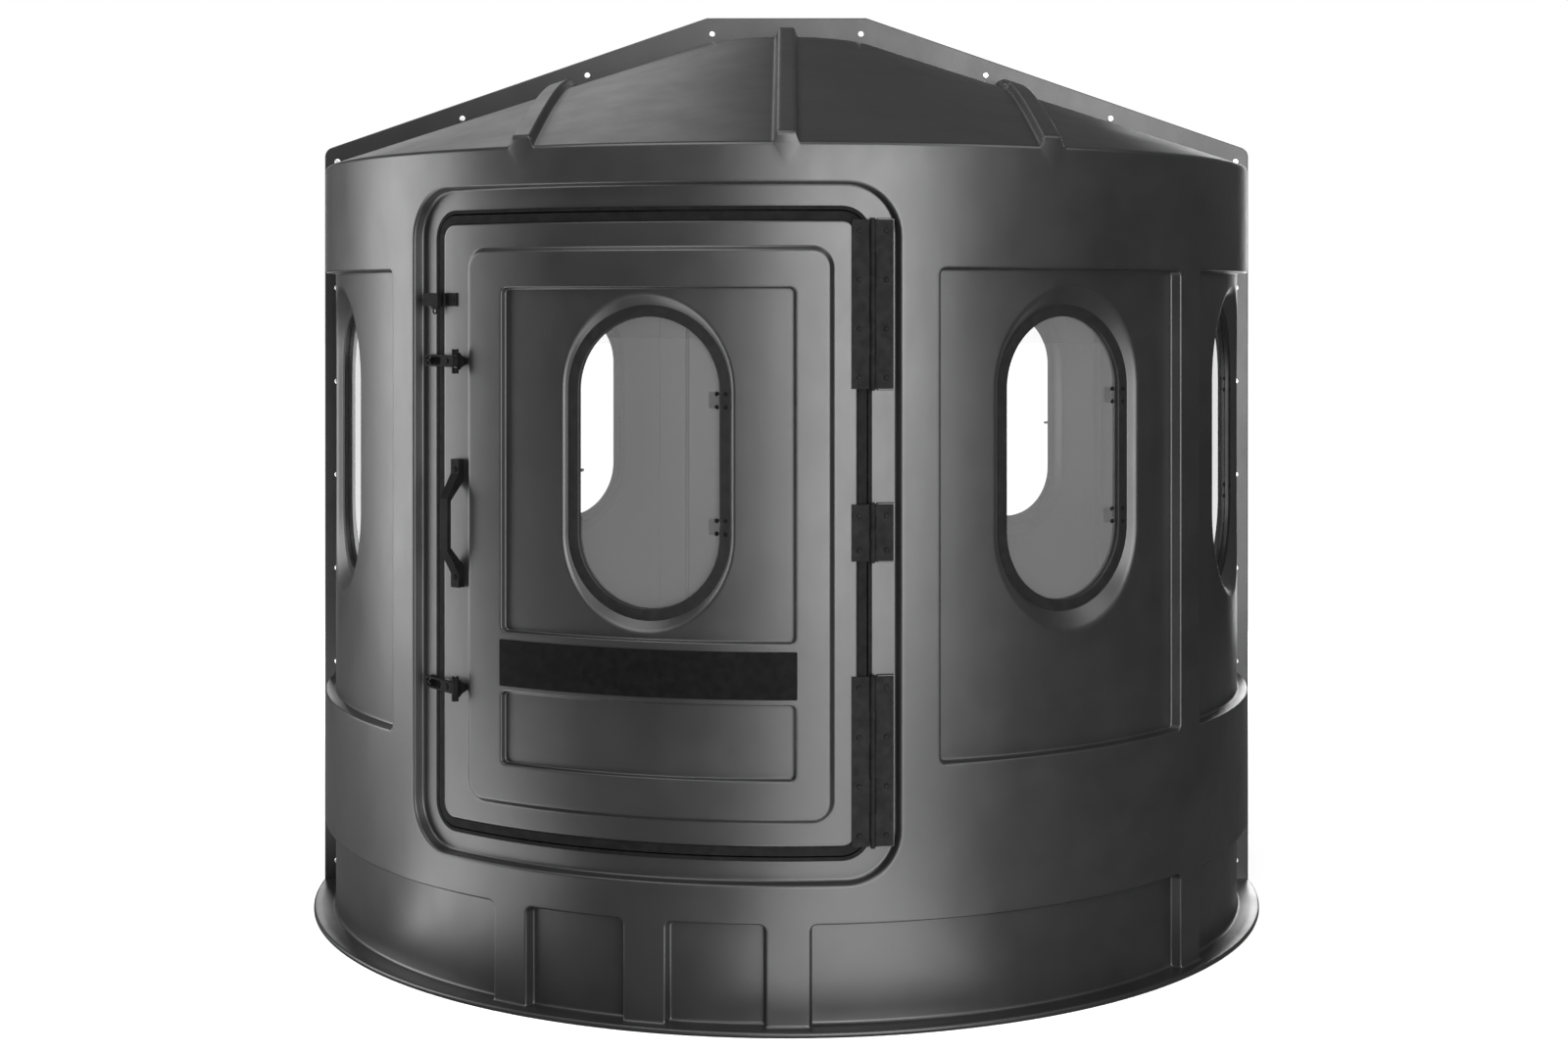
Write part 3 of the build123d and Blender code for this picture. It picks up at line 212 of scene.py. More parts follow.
class Block:
    """Rounded rectangle on the unrolled wall."""

    def __init__(self, span, low, high, corner):
        self.left, self.right = arc(span[0]), arc(span[1])
        self.low, self.high = low, high
        self.corner = corner

    def inside(self, s, z):
        """Distance in from the outline, negative outside it."""
        qs = np.abs(s - (self.left + self.right) / 2) - (self.right - self.left) / 2 + self.corner
        qz = np.abs(z - (self.low + self.high) / 2) - (self.high - self.low) / 2 + self.corner
        beyond = np.hypot(np.maximum(qs, 0), np.maximum(qz, 0))
        return self.corner - beyond - np.minimum(np.maximum(qs, qz), 0)

    def loop(self, inset):
        """Points of the outline moved in by the inset, its sides divided evenly."""
        radius = max(self.corner - inset, 0.05)
        past = min(self.corner - inset, 0.0)
        turns = CORNER_TURNS[self.corner >= LARGE_CORNER]
        left, right = self.left + self.corner, self.right - self.corner
        low, high = self.low + self.corner, self.high - self.corner
        across = max(1, round((right - left) / LEVEL_STEP))
        up = max(1, round((high - low) / UPRIGHT_STEP))
        corners = [(right, low, 1, -1, -90.0, up), (right, high, 1, 1, 0.0, across),
                   (left, high, -1, 1, 90.0, up), (left, low, -1, -1, 180.0, across)]

        def on_arc(corner, turned):
            s, z, out_s, out_z, start, _ = corner
            a = math.radians(start + turned)
            return s + past * out_s + radius * math.cos(a), z + past * out_z + radius * math.sin(a)

        points = []
        for corner, following in zip(corners, corners[1:] + corners[:1]):
            points += [on_arc(corner, 90.0 * i / turns) for i in range(turns + 1)]
            s0, z0 = points[-1]
            s1, z1 = on_arc(following, 0.0)
            count = corner[-1]
            points += [(s0 + (s1 - s0) * i / count, z0 + (z1 - z0) * i / count) for i in range(1, count)]
        return points


class Window:
    """Upright stadium round a window's flat ring, measured on the ring's own plane."""

    def __init__(self, azimuth, surface, seat):
        depth, slope = seat
        self.azimuth = math.radians(azimuth)
        self.plane = surface - depth
        self.slope = math.tan(math.radians(slope))
        self.reach = depth * self.slope + BORDER_MARGIN

    def turn(self, s):
        return np.clip(s / LAND - self.azimuth, -1.2, 1.2)

    def above(self, z):
        """Height above or below the window's straight sides."""
        return np.maximum(np.abs(z - WINDOW_MIDDLE) - HALF_STRAIGHT, 0.0)

    def inside(self, s, z):
        """Distance in from the ring's outer edge, negative outside it."""
        return RING_HALF - np.hypot(self.plane * np.tan(self.turn(s)), self.above(z))

    def sink(self, s, z, r):
        """Cuts the ring and its sloping border into a wall of radius r."""
        turn = self.turn(s)
        cut = self.plane / np.cos(turn)
        for _ in range(4):
            beyond = np.hypot(cut * np.sin(turn), self.above(z)) - RING_HALF
            foot = np.maximum(beyond + BORDER_FOOT, 0.0)**2 / (4 * BORDER_FOOT)
            rise = np.where(beyond < BORDER_FOOT, foot, beyond) / self.slope
            cut = (self.plane + rise) / np.cos(turn)
        width, depth = RING_EDGE
        edge = np.clip((self.inside(s, z) - RING_WIDE + width) / width, 0, 1)
        return lower_of(cut, r, BORDER_ROUND) - depth * edge**2

    def loop(self, inset):
        """Points of the ring's outer edge moved in by the inset."""
        radius = RING_HALF - inset
        outline = []
        for way in (1, -1):
            for i in range(WINDOW_TURNS + 1):
                a = math.pi * i / WINDOW_TURNS
                outline.append((way * radius * math.cos(a), way * (HALF_STRAIGHT + radius * math.sin(a))))
            outline += [(-way * radius, way * HALF_STRAIGHT * (1 - 2 * i / WINDOW_UPS))
                        for i in range(1, WINDOW_UPS)]
        return [(LAND * (self.azimuth + math.atan2(x, self.plane)), WINDOW_MIDDLE + z) for x, z in outline]

    def loops(self):
        insets = [-self.reach * share for share in BORDER_SHARES] + list(RING_ROWS)
        return [self.loop(inset) for inset in insets]


def clear_of(steps, windows, s, z):
    """True for points that keep off the steps and the windows, which bring their own points."""
    clear = np.ones(len(s), bool)
    for block, step in steps:
        d = block.inside(s, z)
        clear &= (d < -8) | (d > step.width + 8)
    for window in windows:
        d = window.inside(s, z)
        clear &= (d < -window.reach - 12) | ((d > 6) & (d < 14))
    return clear


# ---- Mesh tools ----
def triangulate(loops, lines, fill):
    """Triangles over closed loops, open lines and loose points, in the plane."""
    points, edges = [], []
    for loop in loops:
        n = len(points)
        points += [Vector(p) for p in loop]
        edges += [(n + i, n + (i + 1) % len(loop)) for i in range(len(loop))]
    for line in lines:
        n = len(points)
        points += [Vector(p) for p in line]
        edges += [(n + i, n + i + 1) for i in range(len(line) - 1)]
    points += [Vector(p) for p in fill]
    verts, _, faces, _, _, _ = delaunay_2d_cdt(points, edges, [], 0, 1e-4)
    return np.array([(v.x, v.y) for v in verts]), np.array([f[:3] for f in faces])


def keep_faces(flat, faces, test):
    middles = flat[faces].mean(axis=1)
    return faces[test(middles[:, 0], middles[:, 1])]


def border_edges(faces):
    """Directed edges that only one face uses."""
    edges = {}
    for face in faces:
        for i, start in enumerate(face):
            edges[(int(start), int(face[(i + 1) % len(face)]))] = True
    return [(a, b) for a, b in edges if (b, a) not in edges]


def grid_faces(rows, width):
    """Quads over points kept row by row."""
    return [(i * width + k, i * width + k + 1, (i + 1) * width + k + 1, (i + 1) * width + k)
            for i in range(rows - 1) for k in range(width - 1)]


class Mesh:
    """Collects points in mm and faces, then makes one smooth object in metres."""

    def __init__(self):
        self.points, self.faces = [], []

    def add(self, points, faces):
        n = len(self.points)
        self.points += [tuple(p) for p in points]
        self.faces += [tuple(n + int(i) for i in f) for f in faces]
        return n

    def build(self, name):
        mesh = bpy.data.meshes.new(name)
        mesh.from_pydata([(x / 1000, y / 1000, z / 1000) for x, y, z in self.points], [], self.faces)
        work = bmesh.new()
        work.from_mesh(mesh)
        bmesh.ops.remove_doubles(work, verts=work.verts, dist=WELD)
        loose = [v for v in work.verts if not v.link_faces]
        bmesh.ops.delete(work, geom=loose, context="VERTS")
        work.to_mesh(mesh)
        work.free()
        mesh.shade_smooth()
        mesh.set_sharp_from_angle(angle=math.radians(SHARP_ANGLE))
        piece = bpy.data.objects.new(name, mesh)
        bpy.context.scene.collection.objects.link(piece)
        return piece


def wrap(s, z, r):
    """Points of the unrolled wall at their place round the axis."""
    a = s / LAND
    return np.column_stack((r * np.sin(a), -r * np.cos(a), z))


def two_skins(mesh, flat, faces, outer, inner, edge_test=None):
    """Outer and inner skin over the same triangles, closed along the borders that the test keeps."""
    s, z = flat[:, 0], flat[:, 1]
    n = mesh.add(wrap(s, z, outer), faces)
    m = mesh.add(wrap(s, z, inner), faces[:, ::-1])
    for a, b in border_edges(faces):
        if edge_test is None or edge_test((flat[a] + flat[b]) / 2):
            mesh.faces.append((n + b, n + a, m + a, m + b))


# ---- Roof ----
def rib_rise(x):
    rise = np.zeros_like(x)
    for place in RIB_PLACES:
        share = (np.abs(x - place) - RIB_CREST) / (RIB_FOOT - RIB_CREST)
        rise = np.maximum(rise, RIB_HEIGHT * (1 - ease(share)))
    return rise


def roof_height(x, y):
    reach = np.hypot(x, y)
    height = EAVE + ROOF_SLOPE * (BAND - np.maximum(reach, ROOF_FLAT))
    dip, spread_out = TOP_SOFT
    height -= dip * np.exp(-((reach - ROOF_FLAT) / spread_out)**2)
    edge = np.clip(BAND - reach, 0.0, EAVE_ROUND)
    height -= EAVE_ROUND - np.sqrt(EAVE_ROUND**2 - (EAVE_ROUND - edge)**2)
    return height + rib_rise(x)


def roof_triangles(side):
    """One half of the roof seen from above, finer along its edges and ribs."""
    eave_rings = [BAND - inset for inset in EAVE_INSETS]
    top_rings = [ROOF_FLAT + beyond for beyond in TOP_OFFSETS]
    azimuths = [math.radians(a) for a in np.linspace(-92, 92, 185)]
    lines = [[(reach * math.sin(a), side * reach * math.cos(a)) for a in azimuths]
             for reach in eave_rings + top_rings]
    for place in RIB_PLACES:
        for way in (-1, 1):
            for share in RIB_SHARES:
                x = place + way * (RIB_CREST + share * (RIB_FOOT - RIB_CREST))
                end = math.sqrt((BAND + 6)**2 - x**2)
                lines.append([(x, side * (-20 + (end + 20) * i / 24)) for i in range(25)])
    lines.append([(x, 0.0) for x in np.linspace(-BAND, BAND, 81)])
    fill = []
    for reach in np.arange(60.0, 1000.0, ROOF_FILL):
        count = max(6, int(reach * math.pi / 40))
        for i in range(count + 1):
            a = -math.pi / 2 + math.pi * i / count
            x, y = reach * math.sin(a), side * reach * math.cos(a)
            near = min(abs(abs(x - p) - (RIB_CREST + RIB_FOOT) / 2) for p in RIB_PLACES)
            if near > 14 and abs(y) > 12 and abs(reach - ROOF_FLAT) > 26:
                fill.append((x, y))
    flat, faces = triangulate([], lines, fill)
    return flat, keep_faces(flat, faces, lambda x, y: (np.hypot(x, y) < BAND - 0.01) & (side * y > 0))


def add_roof(mesh, half):
    """Adds both skins of a half's roof, and returns its eave as a line on the unrolled wall."""
    flat, faces = roof_triangles(SIDES[half])
    x, y = flat[:, 0], flat[:, 1]
    reach = np.hypot(x, y)
    on_edge = reach > BAND - 0.2
    grow = np.where(on_edge, BAND / np.maximum(reach, 1.0), 1.0)
    x, y = x * grow, y * grow
    height = roof_height(x, y)
    shrink = (BAND - WALL) / BAND
    drop = ROOF_DROP * np.clip((BAND - np.hypot(x, y)) / 12.0, 0.0, 1.0)
    outer = np.column_stack((x, y, height))
    inner = np.column_stack((x * shrink, y * shrink, height - drop))
    a, b, c = (outer[faces[:, i]] for i in range(3))
    up = np.cross(b - a, c - a)[:, 2] > 0
    faces[~up] = faces[~up][:, ::-1]
    n = mesh.add(outer, faces)
    m = mesh.add(inner, faces[:, ::-1])
    for p, q in border_edges(faces):
        if abs(flat[p][1]) < 0.5 and abs(flat[q][1]) < 0.5:
            mesh.faces.append((n + q, n + p, m + p, m + q))

    used = np.zeros(len(x), bool)
    used[faces.ravel()] = True
    rim = np.where(on_edge & used)[0]
    turn = np.arctan2(x[rim], -y[rim])
    if half == "rear":
        turn = np.mod(turn, 2 * math.pi)
    return [(LAND * turn[i], height[rim[i]]) for i in np.argsort(turn)]


# ---- Wall ----
def hinge_pads():
    """Raised flats under the hinge leaves, to the right of the pin."""
    span = [HINGE_AZIMUTH + math.degrees(math.atan2(x, LEAF_SEAT)) for x in PAD_REACH]
    return [Block(span, low - PAD_MARGIN, high + PAD_MARGIN, PAD_CORNER) for low, high in HINGES]


class Wall:
    """The moulded wall of one half, with its panels, windows, hinge pads and door opening."""

    def __init__(self, half, eave):
        self.left, self.right = arc(MIDDLES[half] - 90), arc(MIDDLES[half] + 90)
        self.eave = eave
        self.windows = [Window(azimuth, LAND, SEAT) for azimuth in WINDOWS[half]]
        self.steps = [(Block(span, *WINDOW_PANEL_HEIGHTS, PANEL_CORNER), PANEL_STEP)
                      for span in WINDOW_PANELS[half]]
        self.steps += [(Block(span, *BASE_PANEL_HEIGHTS, PANEL_CORNER), PANEL_STEP)
                       for span in BASE_PANELS[half]]
        self.openings, self.pads = [], []
        if half == "front":
            self.steps.append((Block(*DOOR_RECESS), DOOR_STEP))
            self.openings.append(Block(*DOOR_OPENING))
            self.pads = hinge_pads()

    def top(self, s):
        return np.interp(s, [p[0] for p in self.eave], [p[1] for p in self.eave])

    def radius(self, s, z):
        r = np.full_like(s, BAND)
        for panel, step in self.steps:
            r -= step.fall(panel.inside(s, z))
        for window in self.windows:
            r = window.sink(s, z, r)
        seat = LEAF_SEAT / np.cos(s / LAND - math.radians(HINGE_AZIMUTH))
        for pad in self.pads:
            r = np.maximum(r, r + (seat - r) * ease(pad.inside(s, z) / PAD_EDGE))
        return r

    def covers(self, s, z):
        """True where the wall is, and not its openings."""
        good = (s > self.left) & (s < self.right) & (z > WALL_FOOT) & (z < self.top(s) - 0.01)
        for window in self.windows:
            good &= window.inside(s, z) < RING_WIDE
        for opening in self.openings:
            good &= opening.inside(s, z) < 0
        return good

    def triangles(self):
        loops = [panel.loop(i) for panel, step in self.steps for i in step.rows]
        for window in self.windows:
            loops += window.loops()
        loops += [pad.loop(i) for pad in self.pads for i in PAD_ROWS]
        loops += [opening.loop(i) for opening in self.openings for i in (-3.0, 0.0)]
        lines = [[(s, WALL_FOOT) for s in np.linspace(self.left - 20, self.right + 20, 185)], self.eave]
        for s in (self.left, self.right):
            lines.append([(s, z) for z in np.linspace(-20.0, EAVE + 40.0, 40)])
        s, z = np.meshgrid(np.linspace(self.left, self.right, 181)[1:-1],
                           np.arange(WALL_FOOT + 22, EAVE - 20, FILL_UP))
        s, z = s.ravel(), z.ravel()
        clear = clear_of(self.steps, self.windows, s, z)
        for pad in self.pads:
            d = pad.inside(s, z)
            clear &= (d < -4) | (d > 6)
        for opening in self.openings:
            clear &= opening.inside(s, z) < -8
        flat, faces = triangulate(loops, lines, list(zip(s[clear], z[clear])))
        return flat, keep_faces(flat, faces, self.covers)


def add_wall(mesh, wall):
    """Adds the wall's two skins and the base lip below them."""
    flat, faces = wall.triangles()
    s, z = flat[:, 0], flat[:, 1]
    r = wall.radius(s, z)
    two_skins(mesh, flat, faces, r, r - WALL,
              lambda p: p[1] > WALL_FOOT + 0.1 and p[1] < wall.top(p[0]) - 0.2)
    used = np.unique(faces)
    foot = used[np.abs(z[used] - WALL_FOOT) < 1e-3]
    foot = foot[np.argsort(s[foot])]
    rows = [lip_section(s[i] / LAND, r[i]) for i in foot]
    mesh.add([p for row in rows for p in row], grid_faces(len(rows), len(rows[0])))


def lip_section(a, out):
    """Section of the base lip at an angle in radians, under a wall of radius out."""
    fillet = WALL_FOOT - LIP_HEIGHT
    profile = [(out, WALL_FOOT)]
    for t in (math.pi * k / 10 for k in range(1, 6)):
        profile.append((out + fillet * (1 - math.cos(t)), WALL_FOOT - fillet * math.sin(t)))
    profile.append((max(out + 10.0, 1020.0), LIP_HEIGHT + 0.3))
    profile += [(LIP_RADIUS - inset, height) for inset, height in LIP_NOSE]
    profile += [(LEDGE, 0.0), (LEDGE, LIP_HEIGHT), (out - WALL - 2, LIP_HEIGHT), (out - WALL, WALL_FOOT)]
    return [(q * math.sin(a), -q * math.cos(a), h) for q, h in profile]


# ---- Joining flange ----
def flange_outline(inset):
    """Outline of the joining flange, from its lower right corner to its lower left one."""
    half, top = FLANGE_HALF - inset, FLANGE_TOP - inset
    slope = math.atan(ROOF_SLOPE)
    shift = inset * (1 / math.cos(slope) - 1) / math.tan(slope)
    shoulder = FLANGE_TOP - inset / math.cos(slope) - ROOF_SLOPE * (half - FLANGE_FLAT)
    radius = FLANGE_CORNER - inset
    reach = radius * math.tan((math.pi / 2 - slope) / 2)
    points = [(half, inset)]
    for i in range(FLANGE_TURNS + 1):
        a = (math.pi / 2 - slope) * i / FLANGE_TURNS
        points.append((half - radius + radius * math.cos(a), shoulder - reach + radius * math.sin(a)))
    points.append((FLANGE_FLAT + shift - inset * math.tan(slope / 2), top))
    return points + [(-x, z) for x, z in reversed(points)]


def shell_line():
    """Where the flange meets the shell's outside, a little inside its skin."""
    base_top = BASE_PANEL_HEIGHTS[1]
    low, high = WINDOW_PANEL_HEIGHTS
    bands = [(0.0, BAND), (LIP_HEIGHT, BAND), (LIP_HEIGHT, LAND), (base_top, LAND), (base_top, BAND),
             (low, BAND), (low, LAND), (high, LAND), (high, BAND), (EAVE, BAND)]
    line = [(r - FLANGE_SINK, z) for z, r in bands]
    line.append((ROOF_FLAT, ROOF_TOP - FLANGE_SINK))
    return line + [(-x, z) for x, z in reversed(line)]


def add_flange(mesh, side):
    """Upright joining plate on the middle plane, with softened outer edges."""
    inner = shell_line()
    outline = [Vector(p) for p in flange_outline(FLANGE_NOSE[0][0]) + inner[::-1]]
    n = len(outline)
    edges = [(i, (i + 1) % n) for i in range(n)]
    verts, _, faces, _, _, _ = delaunay_2d_cdt(outline, edges, [list(range(n))], 1, 1e-4)
    front, joint = side * FLANGE_THICK, side * JOINT_GAP
    face = [(v.x, front, v.y) for v in verts]
    triangles = [tuple(f) for f in faces]
    a, b, c = (Vector(face[i]) for i in triangles[0])
    if (b - a).cross(c - a).y * side < 0:
        triangles = [t[::-1] for t in triangles]
    mesh.add(face, triangles)
    nose = [(inset, side * (FLANGE_THICK - back)) for inset, back in FLANGE_NOSE] + [(0.0, joint)]
    rows = [[(x, y, z) for x, z in flange_outline(inset)] for inset, y in nose]
    quads = grid_faces(len(rows), len(rows[0]))
    if side > 0:
        quads = [q[::-1] for q in quads]
    mesh.add([p for row in rows for p in row], quads)
    mesh.add([(x, y, z) for y in (front, joint) for x, z in inner], grid_faces(2, len(inner)))


def shell_half(half):
    mesh = Mesh()
    eave = add_roof(mesh, half)
    add_wall(mesh, Wall(half, eave))
    add_flange(mesh, SIDES[half])
    return mesh


# ---- Door ----
class Door:
    """The curved door panel: a thin rim for the seal, a raised field, two sunk rectangles and a window."""

    def __init__(self):
        self.outline = Block(*DOOR_OPENING)
        self.field = Block(*DOOR_FIELD)
        self.sunk = [Block(*sizes) for sizes in DOOR_SUNK]
        self.window = Window(DOOR_WINDOW, SUNK, DOOR_SEAT)

    def radius(self, s, z):
        t = np.clip((self.outline.inside(s, z) - DOOR_FACE_START) / DOOR_FACE_ROUND, 0.0, 1.0)
        r = RIM + (FACE - RIM) * np.sqrt(1 - (1 - t)**2)
        r += FIELD_STEP.fall(self.field.inside(s, z))
        for block in self.sunk:
            r -= SUNK_STEP.fall(block.inside(s, z))
        return self.window.sink(s, z, r)

    def back(self, s, z, r):
        """Radius of the back: thick along the edge, one wall thick in the middle."""
        t = ease((self.outline.inside(s, z) - DOOR_HOLLOW) / 3.0)
        return np.minimum(DOOR_BACK + (r - WALL - DOOR_BACK) * t, r - WALL)

    def covers(self, s, z):
        return (self.outline.inside(s, z) > DOOR_EDGE) & (self.window.inside(s, z) < RING_WIDE)

    def triangles(self):
        steps = [(self.field, FIELD_STEP)] + [(block, SUNK_STEP) for block in self.sunk]
        loops = [self.outline.loop(i) for i in DOOR_ROWS]
        loops += [block.loop(i) for block, step in steps for i in step.rows]
        loops += self.window.loops()
        s, z = np.meshgrid(np.arange(self.outline.left + FILL_ACROSS, self.outline.right, FILL_ACROSS),
                           np.arange(330.0, 1480.0, FILL_UP))
        s, z = s.ravel(), z.ravel()
        clear = clear_of(steps, [self.window], s, z) & (self.outline.inside(s, z) > 42)
        flat, faces = triangulate(loops, [], list(zip(s[clear], z[clear])))
        return flat, keep_faces(flat, faces, self.covers)


def door_shape():
    door = Door()
    flat, faces = door.triangles()
    s, z = flat[:, 0], flat[:, 1]
    r = door.radius(s, z)
    mesh = Mesh()
    two_skins(mesh, flat, faces, r, door.back(s, z, r))
    return mesh


# ---- Shader tools ----
def material(name, **values):
    """New material whose shader has the given constant values."""
    made = bpy.data.materials.new(name)
    made.use_nodes = True
    shader = made.node_tree.nodes["Principled BSDF"]
    for key, value in values.items():
        shader.inputs[key.replace("_", " ")].default_value = value
    return made, made.node_tree, shader


def noise(tree, scale, detail=4.0, stretch=(1, 1, 1), rough=0.55):
    place = tree.nodes.new("ShaderNodeTexCoord")
    mapping = tree.nodes.new("ShaderNodeMapping")
    mapping.inputs["Scale"].default_value = stretch
    node = tree.nodes.new("ShaderNodeTexNoise")
    node.inputs["Scale"].default_value = scale
    node.inputs["Detail"].default_value = detail
    node.inputs["Roughness"].default_value = rough
    tree.links.new(place.outputs["Object"], mapping.inputs["Vector"])
    tree.links.new(mapping.outputs["Vector"], node.inputs["Vector"])
    return node.outputs["Fac"]


def ramp(tree, source, stops):
    node = tree.nodes.new("ShaderNodeValToRGB")
    for element, (place, colour) in zip(node.color_ramp.elements, stops):
        element.position = place
        element.color = (*colour, 1.0)
    tree.links.new(source, node.inputs["Fac"])
    return node.outputs["Color"]


def spread(tree, source, low, high, start=0.3, end=0.7):
    """Maps start to end onto low to high."""
    node = tree.nodes.new("ShaderNodeMapRange")
    node.inputs["From Min"].default_value = start
    node.inputs["From Max"].default_value = end
    node.inputs["To Min"].default_value = low
    node.inputs["To Max"].default_value = high
    tree.links.new(source, node.inputs["Value"])
    return node.outputs["Result"]


def bump(tree, shader, source, strength, distance, before=None):
    node = tree.nodes.new("ShaderNodeBump")
    node.inputs["Strength"].default_value = strength
    node.inputs["Distance"].default_value = distance
    tree.links.new(source, node.inputs["Height"])
    if before is not None:
        tree.links.new(before, node.inputs["Normal"])
    tree.links.new(node.outputs["Normal"], shader.inputs["Normal"])
    return node.outputs["Normal"]


def combine(tree, operation, first, second, clamp=True):
    """Sum, difference or product of two values, kept between 0 and 1 unless clamp is off."""
    node = tree.nodes.new("ShaderNodeMath")
    node.operation = operation
    node.use_clamp = clamp
    tree.links.new(first, node.inputs[0])
    tree.links.new(second, node.inputs[1])
    return node.outputs[0]


def mix_shaders(tree, share, first, second):
    node = tree.nodes.new("ShaderNodeMixShader")
    tree.links.new(share, node.inputs["Fac"])
    tree.links.new(first, node.inputs[1])
    tree.links.new(second, node.inputs[2])
    return node.outputs[0]


def backdrop_rays(tree):
    """1 for the rays that see the white backdrop: the camera's, and those through or mirrored by a pane."""
    seen = tree.nodes.new("ShaderNodeLightPath")
    total = seen.outputs["Is Camera Ray"]
    for ray in ("Is Transmission Ray", "Is Singular Ray"):
        total = combine(tree, "ADD", total, seen.outputs[ray])
    return total


# ---- Materials ----
def moulded(name, dark, pale, low, high):
    """Satin rotomoulded plastic: faint cloudy tone, cloudy gloss and a fine grain."""
    made, tree, shader = material(name, Specular_IOR_Level=0.5)
    cloud = noise(tree, 5.5, 6.0, (1, 1, 1.4), 0.62)
    tree.links.new(ramp(tree, cloud, ((0.32, dark), (0.7, pale))), shader.inputs["Base Color"])
    streaks = noise(tree, 9.0, 7.0, (1, 1, 0.6), 0.66)
    tree.links.new(spread(tree, streaks, low, high), shader.inputs["Roughness"])
    soft = bump(tree, shader, noise(tree, 14.0, 3.0), 0.10, 0.004)
    bump(tree, shader, noise(tree, 900.0, 2.0), 0.06, 0.0004, soft)
    return made


def plain_black(name, tone, shine, low, high, grain, depth):
    """Black rubber, plastic or coating, by its tone, specular level, roughness and grain."""
    made, tree, shader = material(name, Specular_IOR_Level=shine)
    dark = (tone * 0.75,) * 3
    pale = (tone * 1.3,) * 3
    cloud = noise(tree, 60.0, 5.0)
    tree.links.new(ramp(tree, cloud, ((0.35, dark), (0.68, pale))), shader.inputs["Base Color"])
    tree.links.new(spread(tree, noise(tree, 90.0, 4.0), low, high), shader.inputs["Roughness"])
    bump(tree, shader, noise(tree, grain, 2.0), depth, 0.0005)
    return made


def plated_steel(name):
    """Bright zinc plating, finely mottled."""
    made, tree, shader = material(name, Metallic=0.75)
    stops = ((0.3, (0.78, 0.78, 0.79)), (0.7, (0.9, 0.9, 0.9)))
    tree.links.new(ramp(tree, noise(tree, 240.0, 4.0), stops), shader.inputs["Base Color"])
    tree.links.new(spread(tree, noise(tree, 420.0, 3.0), 0.28, 0.44), shader.inputs["Roughness"])
    bump(tree, shader, noise(tree, 1500.0, 2.0), 0.12, 0.0003)
    return made


def hazy_pane(name):
    """Clear sheet with a faint dusty haze and a sharp reflection of the studio on its outer faces."""
    made, tree, shader = material(name)
    out = tree.nodes["Material Output"]
    tree.nodes.remove(shader)
    clear = tree.nodes.new("ShaderNodeBsdfTransparent")
    haze = tree.nodes.new("ShaderNodeBsdfDiffuse")
    dust = ((0.3, (0.80, 0.80, 0.80)), (0.7, (0.86, 0.86, 0.86)))
    tree.links.new(ramp(tree, noise(tree, 3.0, 3.0), dust), haze.inputs["Color"])
    thickness = spread(tree, noise(tree, 2.0, 4.0), 0.025, 0.029)
    veil = mix_shaders(tree, thickness, clear.outputs[0], haze.outputs[0])
    gloss = tree.nodes.new("ShaderNodeBsdfGlossy")
    gloss.inputs["Roughness"].default_value = 0.0
    fresnel = tree.nodes.new("ShaderNodeFresnel")
    fresnel.inputs["IOR"].default_value = 1.42
    side = tree.nodes.new("ShaderNodeNewGeometry")
    outer = spread(tree, side.outputs["Backfacing"], 1.9, 0.0, 0.0, 1.0)
    share = combine(tree, "MULTIPLY", fresnel.outputs[0], outer)
    tree.links.new(mix_shaders(tree, share, veil, gloss.outputs[0]), out.inputs["Surface"])
    return made


shell_plastic = moulded("shell_plastic", (0.0065, 0.0065, 0.0068), (0.0105, 0.0105, 0.0109), 0.35, 0.43)
door_plastic = moulded("door_plastic", (0.0065, 0.0065, 0.0068), (0.0100, 0.0100, 0.0104), 0.35, 0.43)
floor_plastic = moulded("floor_plastic", (0.030, 0.030, 0.031), (0.045, 0.045, 0.046), 0.5, 0.65)
rubber = plain_black("rubber", 0.0045, 0.045, 0.6, 0.75, 1400.0, 0.2)
hinge_coat = plain_black("hinge_coat", 0.0065, 0.03, 0.45, 0.58, 1800.0, 0.25)
hardware_coat = plain_black("hardware_coat", 0.0045, 0.022, 0.38, 0.50, 1500.0, 0.12)
handle_plastic = plain_black("handle_plastic", 0.0045, 0.03, 0.34, 0.46, 1200.0, 0.12)
strip_vinyl = plain_black("strip_vinyl", 0.003, 0.03, 0.5, 0.62, 2200.0, 0.12)
ring_plastic = plain_black("ring_plastic", 0.005, 0.22, 0.42, 0.52, 900.0, 0.1)
bright_steel = plated_steel("bright_steel")
pane_clear = hazy_pane("pane_clear")


def finish_with(piece, made):
    piece.data.materials.clear()
    piece.data.materials.append(made)


def finish_rings(piece, windows):
    """Duller, darker finish on the flat rings that the gaskets sit in."""
    piece.data.materials.append(ring_plastic)
    middles = np.array([tuple(face.center) for face in piece.data.polygons]) * 1000
    turn = np.mod(np.arctan2(middles[:, 0], -middles[:, 1]) + math.pi / 2, 2 * math.pi) - math.pi / 2
    on_ring = np.zeros(len(middles), bool)
    for window in windows:
        on_ring |= window.inside(LAND * turn, middles[:, 2]) > -0.3
    piece.data.polygons.foreach_set("material_index", on_ring.astype(np.int32))


# ---- Pieces that stand for CAD nodes ----
for half in ("front", "rear"):
    piece = shell_half(half).build(half + "_shell_skin")
    finish_with(piece, shell_plastic)
    finish_rings(piece, [Window(azimuth, LAND, SEAT) for azimuth in WINDOWS[half]])
    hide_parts(half + "_shell")
    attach(piece, "root")

door = door_shape().build("door_skin")
finish_with(door, door_plastic)
finish_rings(door, [Window(DOOR_WINDOW, SUNK, DOOR_SEAT)])
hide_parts("door_panel")
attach(door, "door")

